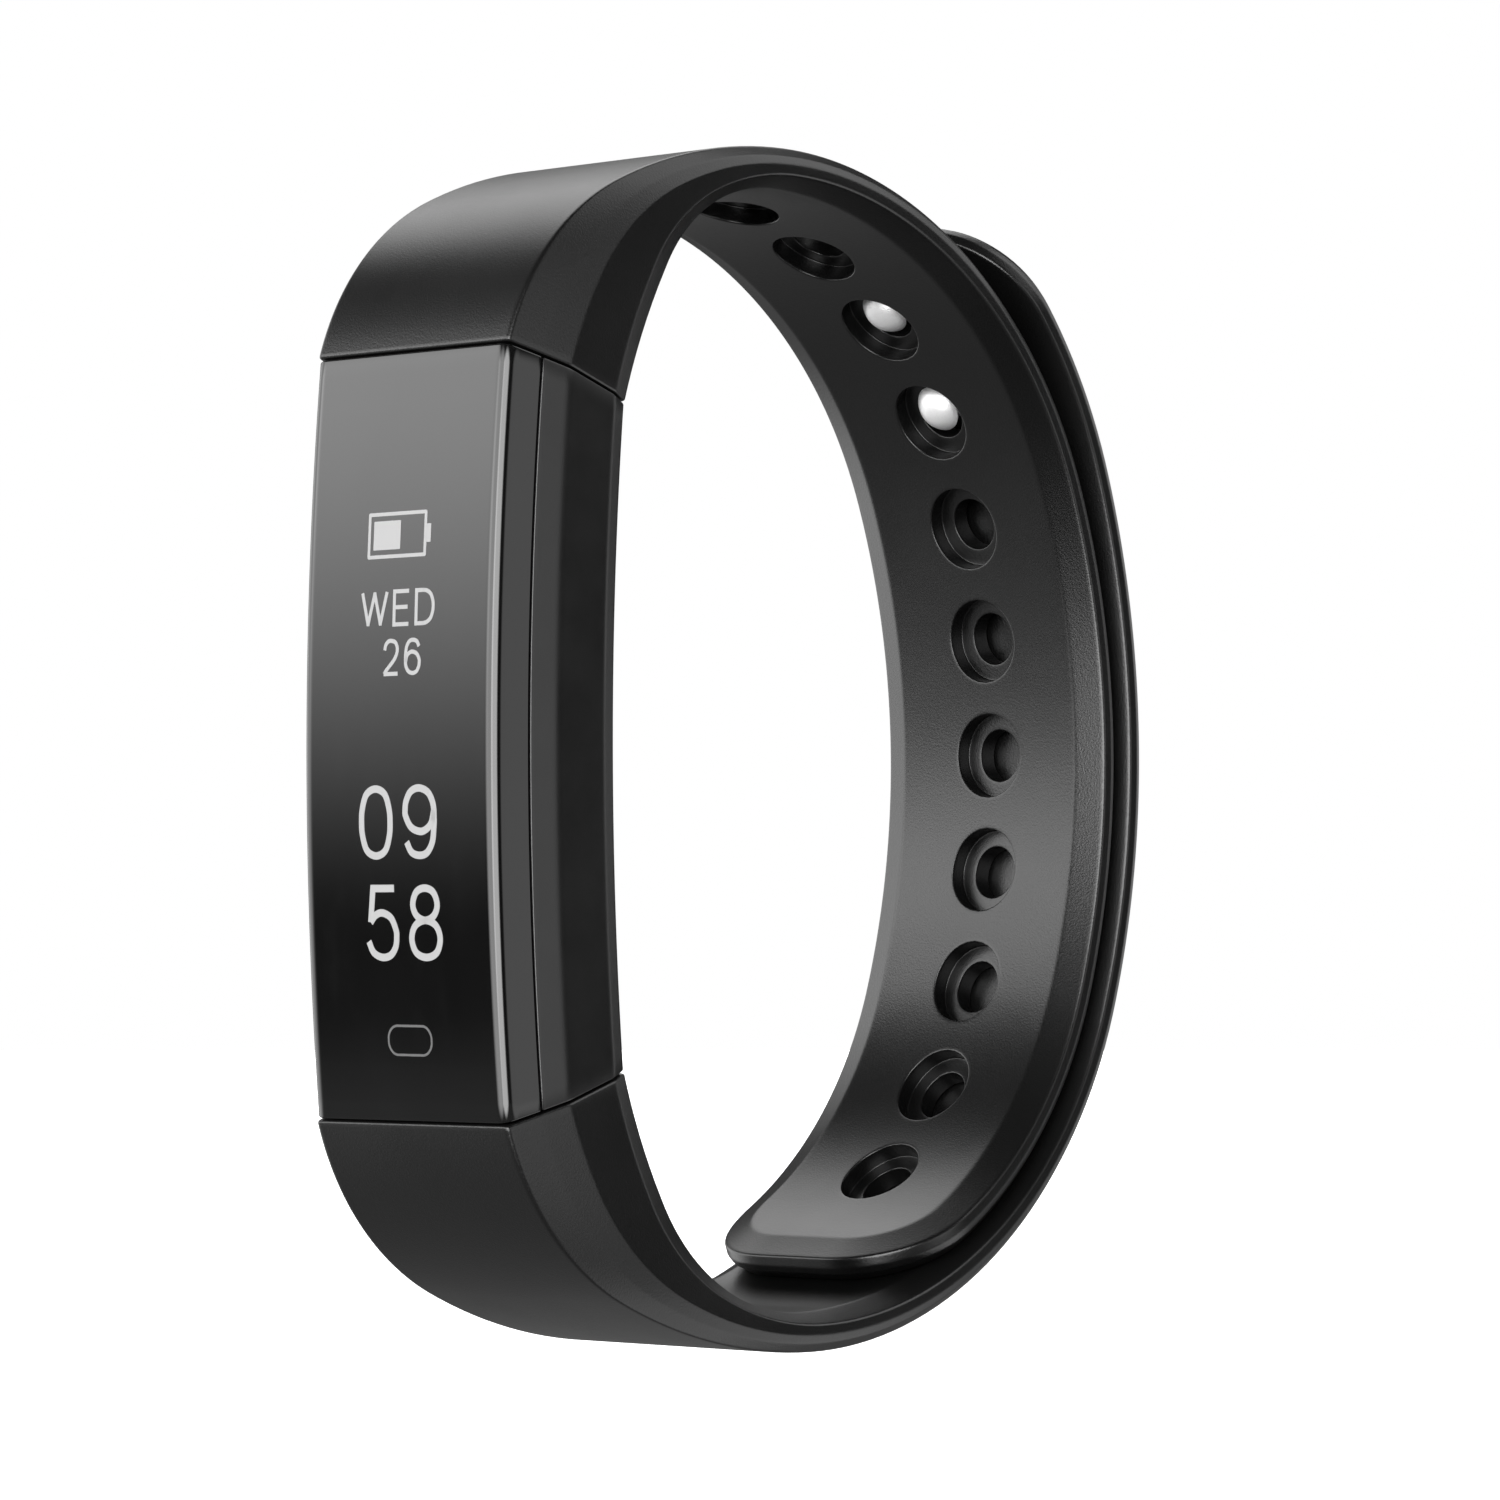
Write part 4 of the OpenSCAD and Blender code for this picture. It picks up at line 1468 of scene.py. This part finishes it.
def smoothed(points: Array, steps: int = 8) -> Array:
    """A Catmull-Rom curve through points; it closes if the first and last points agree.

    Between b and c, with the neighbours a and d, it is half of 2b + (c - a)t
    + (2a - 5b + 4c - d)t^2 + (3b - a - 3c + d)t^3.

    Args:
        points: The points, shape (n, 2).
        steps: Points on each stretch.

    Returns:
        The curve's points.
    """
    if np.allclose(points[0], points[-1]):
        ends = points[-2], points[1]
    else:
        ends = 2 * points[0] - points[1], 2 * points[-1] - points[-2]
    p = np.concatenate([ends[0][None], points, ends[1][None]])
    t = np.linspace(0, 1, steps, endpoint=False)[:, None, None]
    a, b, c, d = p[:-3], p[1:-2], p[2:-1], p[3:]
    curve = 0.5 * (2 * b + (c - a) * t + (2 * a - 5 * b + 4 * c - d) * t ** 2
                   + (3 * b - a - 3 * c + d) * t ** 3)
    return np.concatenate([curve.transpose(1, 0, 2).reshape(-1, 2), points[-1:]])


# Strokes of each figure in a box one wide and one high; True marks a curved stroke
GLYPHS: dict[str, list[tuple[bool, list[tuple[float, float]]]]] = {
    "0": [(True, [(0.5, 0), (0.18, 0.08), (0.03, 0.3), (0, 0.5), (0.03, 0.7), (0.18, 0.92),
                  (0.5, 1), (0.82, 0.92), (0.97, 0.7), (1, 0.5), (0.97, 0.3), (0.82, 0.08),
                  (0.5, 0)])],
    "9": [(True, [(0.99, 0.66), (0.9, 0.48), (0.72, 0.385), (0.5, 0.355), (0.2, 0.42),
                  (0.02, 0.58), (0, 0.68), (0.04, 0.81), (0.2, 0.95), (0.49, 1), (0.8, 0.93),
                  (0.97, 0.76), (1, 0.56), (0.99, 0.42), (0.93, 0.2), (0.74, 0.04), (0.47, 0),
                  (0.2, 0.05), (0.04, 0.2)])],
    "6": [(True, [(0.01, 0.34), (0.1, 0.52), (0.28, 0.615), (0.5, 0.645), (0.8, 0.58),
                  (0.98, 0.42), (1, 0.32), (0.96, 0.19), (0.8, 0.05), (0.51, 0), (0.2, 0.07),
                  (0.03, 0.24), (0, 0.44), (0.01, 0.58), (0.07, 0.8), (0.26, 0.96), (0.53, 1),
                  (0.8, 0.95), (0.96, 0.8)])],
    "5": [(False, [(0.95, 1), (0.2, 1), (0.09, 0.51)]),
          (True, [(0.09, 0.51), (0.27, 0.61), (0.52, 0.645), (0.82, 0.57), (0.98, 0.4),
                  (1, 0.3), (0.95, 0.15), (0.76, 0.03), (0.46, 0), (0.16, 0.07), (0, 0.23)])],
    "8": [(True, [(0.5, 0.535), (0.2, 0.6), (0.07, 0.76), (0.2, 0.94), (0.5, 1), (0.8, 0.94),
                  (0.93, 0.76), (0.8, 0.6), (0.5, 0.535)]),
          (True, [(0.5, 0.535), (0.14, 0.46), (0, 0.27), (0.14, 0.07), (0.5, 0),
                  (0.86, 0.07), (1, 0.27), (0.86, 0.46), (0.5, 0.535)])],
    "2": [(True, [(0.05, 0.72), (0.12, 0.88), (0.3, 0.98), (0.52, 1), (0.8, 0.95),
                  (0.95, 0.8), (0.93, 0.62), (0.75, 0.43), (0.4, 0.23), (0.16, 0.1),
                  (0.03, 0)]),
          (False, [(0, 0), (1, 0)])],
    "W": [(False, [(0, 1), (0.26, 0)]), (False, [(0.24, 0), (0.51, 1)]),
          (False, [(0.49, 1), (0.76, 0)]), (False, [(0.74, 0), (1, 1)])],
    "E": [(False, [(1, 1), (0, 1), (0, 0), (1, 0)]), (False, [(0, 0.52), (0.92, 0.52)])],
    "D": [(False, [(0.45, 1), (0, 1), (0, 0), (0.45, 0)]),
          (True, [(0.4, 1), (0.62, 0.975), (0.84, 0.87), (0.97, 0.68), (1, 0.5),
                  (0.97, 0.32), (0.84, 0.13), (0.62, 0.025), (0.4, 0)])],
}
# Widths of the letters that aren't one wide
GLYPH_WIDTH: dict[str, float] = {"W": 1.75, "E": 1.1, "D": 1.25}


@dataclass
class Readout:
    """The lit marks on the display and the outline of the touch key.

    Every mark is a thin solid that follows the lens's curve and stands just proud of it.
    letter_space is a share of a figure's width. A mitre is never divided by less than
    mitre_limit, so a sharp turn of the pen grows no spike.
    """

    loop: Loop
    proud: float = 0.02
    buried: float = 0.06
    letter_space: float = 0.30
    plate_round: float = 0.05
    mitre_limit: float = 0.5

    def build(self) -> None:
        """Builds each mark."""
        self.figures("time_hours", "09", (-3.0, 3.1), (-6.65, -2.65), 0.4)
        self.figures("time_minutes", "58", (-2.65, 3.35), (-12.1, -8.0), 0.4)
        self.figures("weekday", "WED", (-2.95, 2.85), (5.85, 7.85), 0.22)
        self.figures("day_of_month", "26", (-1.15, 1.85), (3.2, 5.2), 0.22)
        self.cell_mark()
        # The touch key's outline is a print with a faint painted glow.
        self.ring_mark("touch_key_outline", (0.45, -16.35), (1.75, 0.85), 0.8, 0.13,
                       Part.TOUCH_MARK)

    def stand(self, outline: Array, height: float) -> Array:
        """Puts (x, z) points at that height above the lens."""
        y = self.loop.display_y(outline[..., 1]) - height
        return np.stack([outline[..., 0], y, outline[..., 1]], axis=-1)

    def rounded(self, middle: tuple[float, float], half: tuple[float, float], radius: float
                ) -> Array:
        """A rectangle with round corners: four quarter circles joined.

        Args:
            middle: Its middle (x, z).
            half: Its half sizes.
            radius: Radius of its corners.

        Returns:
            Its (x, z) points, once round; a small turn keeps them off the axes.
        """
        small_turn = 0.01
        angle = np.radians(np.arange(0, 360, 10)) + small_turn
        quarter = np.stack([np.cos(angle), np.sin(angle)], -1)
        return np.array(middle) + np.sign(quarter) * (np.array(half) - radius) + quarter * radius

    def ring_mark(self, name: str, middle: tuple[float, float], half: tuple[float, float],
                  radius: float, line: float, part: Part) -> None:
        """A closed line: an outer and an inner rounded rectangle, front and back.

        Args:
            name: The piece's name.
            middle: Its middle (x, z).
            half: Half sizes of the outer rectangle.
            radius: Radius of the outer corners.
            line: Width of the line.
            part: The mark's finish.
        """
        inner_half = (half[0] - line, half[1] - line)
        outer = self.rounded(middle, half, radius)
        inner = self.rounded(middle, inner_half, max(radius - line, 0.02))
        skin = Skin()
        loops = [self.stand(outer, self.proud), self.stand(inner, self.proud),
                 self.stand(inner, -self.buried), self.stand(outer, -self.buried),
                 self.stand(outer, self.proud)]
        skin.patch(np.stack(loops), wrap=True)
        self._finish(skin, name, part)

    def plate(self, skin: Skin, middle: tuple[float, float], half: tuple[float, float]) -> None:
        """Adds a filled rounded rectangle.

        Args:
            skin: Takes the patch.
            middle: Its middle (x, z).
            half: Its half sizes.
        """
        edge = self.rounded(middle, half, self.plate_round)
        hub = np.broadcast_to(np.array(middle, float), edge.shape)
        rows = [self.stand(hub, self.proud), self.stand(edge, self.proud),
                self.stand(edge, -self.buried), self.stand(hub, -self.buried)]
        skin.patch(np.stack(rows), wrap=True)

    def cell_mark(self) -> None:
        """The charge mark: an outline, its terminal and a bar that fills half of it."""
        self.ring_mark("charge_outline", (-0.25, 10.8), (2.3, 1.25), 0.12, 0.2, Part.READOUT)
        skin = Skin()
        self.plate(skin, (-1.05, 10.8), (1.05, 0.78))
        self.plate(skin, (2.22, 10.8), (0.16, 0.5))
        self._finish(skin, "charge_bar", Part.READOUT)

    def figures(self, name: str, text: str, x: tuple[float, float], z: tuple[float, float],
                pen: float) -> None:
        """Figures or letters drawn with a pen of one width, side by side in a box.

        Args:
            name: The piece's name.
            text: Its characters, each a key of GLYPHS.
            x: The box's left and right sides.
            z: The box's bottom and top.
            pen: Width of the pen.
        """
        widths = np.array([GLYPH_WIDTH.get(letter, 1.0) for letter in text])
        unit = (x[1] - x[0]) / (widths.sum() + self.letter_space * (len(text) - 1))
        skin, left = Skin(), x[0]
        for letter, width in zip(text, widths):
            size = np.array([width * unit - pen, z[1] - z[0] - pen])
            corner = np.array([left, z[0]]) + pen / 2
            for curved, stroke in GLYPHS[letter]:
                line = smoothed(np.array(stroke)) if curved else np.array(stroke)
                self.pen_line(skin, corner + line * size, pen)
            left += (width + self.letter_space) * unit
        self._finish(skin, name, Part.READOUT)

    def pen_line(self, skin: Skin, line: Array, pen: float) -> None:
        """Adds a stroke: the pen's two sides, front and back, with mitred corners.

        Args:
            skin: Takes the patches.
            line: The stroke's (x, z) points.
            pen: Width of the pen.
        """
        step = np.diff(line, axis=0)
        step /= np.linalg.norm(step, axis=1, keepdims=True)
        closed = np.allclose(line[0], line[-1])
        before = np.concatenate([step[-1:] if closed else step[:1], step])
        after = np.concatenate([step, step[:1] if closed else step[-1:]])
        mitre = before + after
        mitre /= np.maximum((mitre * after).sum(axis=1, keepdims=True), self.mitre_limit)
        side = np.stack([-mitre[:, 1], mitre[:, 0]], -1) * pen / 2
        sides = np.stack([line + side, line - side, line - side, line + side], axis=1)
        height = np.array([self.proud, self.proud, -self.buried, -self.buried])
        rows = self.stand(sides, height)
        skin.patch(rows, wrap=True)
        if not closed:
            skin.fan(rows[0])
            skin.fan(rows[-1])

    def _finish(self, skin: Skin, name: str, part: Part) -> None:
        """Builds a mark and rides it on the tracker."""
        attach(skin.build(name, part, "panel_black", 30.0), "tracker")


# ---------------------------------------------------------------- inner parts


@dataclass
class InnerParts:
    """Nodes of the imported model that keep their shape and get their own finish.

    A chip's round mark lies mark_inset from two edges of its face towards the display.
    """

    mark_inset: float = 0.4

    def build(self) -> None:
        """Dresses each node."""
        plain = {
            "lens_gasket": Part.GASKET, "oled_panel": Part.PANEL, "display_flex": Part.FLEX,
            "touch_pad": Part.GOLD, "chassis": Part.CHASSIS, "chassis_screws": Part.STEEL,
            "main_board": Part.BOARD, "antenna": Part.GOLD, "battery": Part.FOIL,
            "battery_pad": Part.PAD, "motor_can": Part.STEEL, "motor_shaft": Part.STEEL,
            "motor_weight": Part.HEAVY, "charging_tongue": Part.TONGUE_BOARD,
            "charging_contacts": Part.GOLD, "plain_tongue": Part.TONGUE,
            "upper_seal": Part.SEAL, "lower_seal": Part.SEAL, "peg_plate": Part.PLATE,
        }
        for node, part in plain.items():
            part.dress(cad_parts[node])
            LOG.info("%s: %s", node, part.value.name)
        for chip in ("radio_chip", "motion_chip", "charge_chip"):
            low, high = (np.array(corner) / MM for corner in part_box(chip))
            mark = (low[0] + self.mark_inset, low[1], high[2] - self.mark_inset)
            package = ChipPackage(chip + "_package", grey(0.025), 0.5, mark=mark)
            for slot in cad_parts[chip].material_slots:
                slot.material = package.material()
            LOG.info("%s: marked package", chip)


# ---------------------------------------------------------------- studio


@dataclass(frozen=True)
class SoftLight:
    """A light's direction seen from the band, its half width and soft rim in degrees, its level."""

    toward: tuple[float, float, float]
    wide: float
    soft: float
    level: float


class Light(Enum):
    """The soft lights all round."""

    KEY = SoftLight((-0.70, -0.70, 0.14), 12, 15, 4.1)
    OVERHEAD = SoftLight((-0.53, 0.40, 0.75), 15, 13, 1.9)
    FRONT = SoftLight((-0.15, -0.98, 0.05), 12, 18, 5.0)
    CORNER = SoftLight((0.50, -0.87, 0.05), 18, 13, 9.0)
    FLANK = SoftLight((0.985, 0.17, 0.0), 14, 10, 1.45)
    RIM = SoftLight((0.45, 0.60, 0.68), 20, 9, 1.8)
    BELOW = SoftLight((0.45, 0.60, -0.68), 20, 9, 1.3)
    BACK = SoftLight((-0.05, 0.99, 0.12), 10, 18, 0.8)
    LEFT = SoftLight((-0.98, -0.12, 0.05), 10, 25, 2.0)


@dataclass
class Studio:
    """Camera, pale floor and soft light all round.

    key_rise gives the heights in degrees between which the key light comes up. The ground's
    glow comes up between the two sines in ground_edge, and fill is added from everywhere.
    """

    position: tuple[float, float, float] = (237.9, -249.2, -11.1)
    target: tuple[float, float, float] = (2.66, -3.90, -0.28)
    lens_mm: float = 145.1
    sensor_mm: float = 36.0
    floor_drop: float = 10.0
    floor_r: float = 1500.0
    floor_middle_r: float = 30.0
    floor_rings: int = 12
    floor_spokes: int = 96
    key_rise: tuple[float, float] = (-4.0, 13.0)
    ground_edge: tuple[float, float] = (-0.10, -0.16)
    ground_level: float = 0.22
    fill: float = 0.02

    def build(self) -> None:
        """Builds everything that isn't part of the tracker."""
        bpy.context.scene.view_settings.view_transform = "Standard"
        self.camera()
        self.floor()
        self.light()

    def camera(self) -> None:
        """A long lens a little below the display's middle."""
        data = bpy.data.cameras.new("camera")
        data.lens, data.sensor_width = self.lens_mm, self.sensor_mm
        data.clip_start, data.clip_end = 0.01, 20.0
        camera = bpy.data.objects.new("camera", data)
        bpy.context.scene.collection.objects.link(camera)
        camera.location = Vector(self.position) * MM
        aim = Vector(self.target) - Vector(self.position)
        camera.rotation_mode = "QUATERNION"
        camera.rotation_quaternion = aim.to_track_quat("-Z", "Y")
        bpy.context.scene.camera = camera

    def floor(self) -> None:
        """A round pale floor: rings of points that spread by equal ratios."""
        rings, spokes = self.floor_rings, self.floor_spokes
        spread = np.geomspace(self.floor_middle_r, self.floor_r, rings)
        radius = np.concatenate([[0], spread])[:, None]
        spin = np.linspace(0, 2 * math.pi, spokes, endpoint=False)
        z = np.array(CAD_BOX[0])[2] / MM - self.floor_drop
        points = np.stack([radius * np.cos(spin), radius * np.sin(spin),
                           np.full((rings + 1, spokes), z)], -1)
        row = np.arange(rings)[:, None] * spokes
        column = np.arange(spokes)
        beside = (column + 1) % spokes
        quads = np.stack([row + column, row + beside, row + spokes + beside,
                          row + spokes + column], -1)
        mesh = bpy.data.meshes.new("floor")
        mesh.from_pydata((points.reshape(-1, 3) * MM).tolist(), [],
                         quads.reshape(-1, 4)[:, ::-1].tolist())
        floor = bpy.data.objects.new("floor", mesh)
        bpy.context.scene.collection.objects.link(floor)
        paper = Finish("floor_paper", grey(0.9), 0.9, specular=0.1, glow=grey(0.96))
        mesh.materials.append(paper.material())
        floor.visible_glossy = False
        floor.visible_diffuse = False

    def light(self) -> None:
        """A white room for the camera, and graded soft boxes for everything else."""
        world = bpy.data.worlds.new("studio")
        bpy.context.scene.world = world
        world.use_nodes = True
        graph = Graph(world.node_tree)
        toward = graph.node("ShaderNodeTexCoord", output="Generated")
        height = graph.node("ShaderNodeSeparateXYZ", {}, {0: toward}, "Z")

        def lobe(light: Light) -> Wire:
            """A light's level inside its half width, falling to 0 over its soft rim.

            Args:
                light: The light.

            Returns:
                The wire of its level.
            """
            lamp = light.value
            spread = graph.node("ShaderNodeVectorMath", {"operation": "DOT_PRODUCT"},
                                {0: toward, 1: tuple(Vector(lamp.toward).normalized())}, "Value")
            return graph.remap(spread, math.cos(math.radians(lamp.wide + lamp.soft)),
                               math.cos(math.radians(lamp.wide)), 0.0, lamp.level)

        low, high = (math.sin(math.radians(angle)) for angle in self.key_rise)
        rising = graph.remap(height, low, high)
        ground = graph.remap(height, *self.ground_edge, 0.0, self.ground_level)
        level = (lobe(Light.KEY) * rising + lobe(Light.OVERHEAD) + lobe(Light.FRONT)
                 + lobe(Light.CORNER) + lobe(Light.FLANK) + lobe(Light.RIM)
                 + lobe(Light.BELOW) + lobe(Light.BACK) + lobe(Light.LEFT) + ground + self.fill)
        tone = graph.node("ShaderNodeCombineColor", {}, {0: level, 1: level, 2: level})
        soft = graph.node("ShaderNodeBackground", {}, {"Color": tone, "Strength": 1.0})
        white = graph.node("ShaderNodeBackground", {}, {"Color": grey(1.0), "Strength": 1.0})
        seen = graph.node("ShaderNodeLightPath", output="Is Camera Ray")
        room = graph.node("ShaderNodeMixShader", {}, {0: seen, 1: soft, 2: white})
        graph.node("ShaderNodeOutputWorld", {}, {"Surface": room})


def main() -> None:
    """Builds the tracker's pieces in order, then the studio."""
    logging.basicConfig(level=logging.INFO, format="%(name)s %(message)s")
    loop = Loop()
    Studio().build()
    Module(loop).build()
    Straps(loop, HoleRow()).build()
    InnerParts().build()


if __name__ == "__main__":
    main()
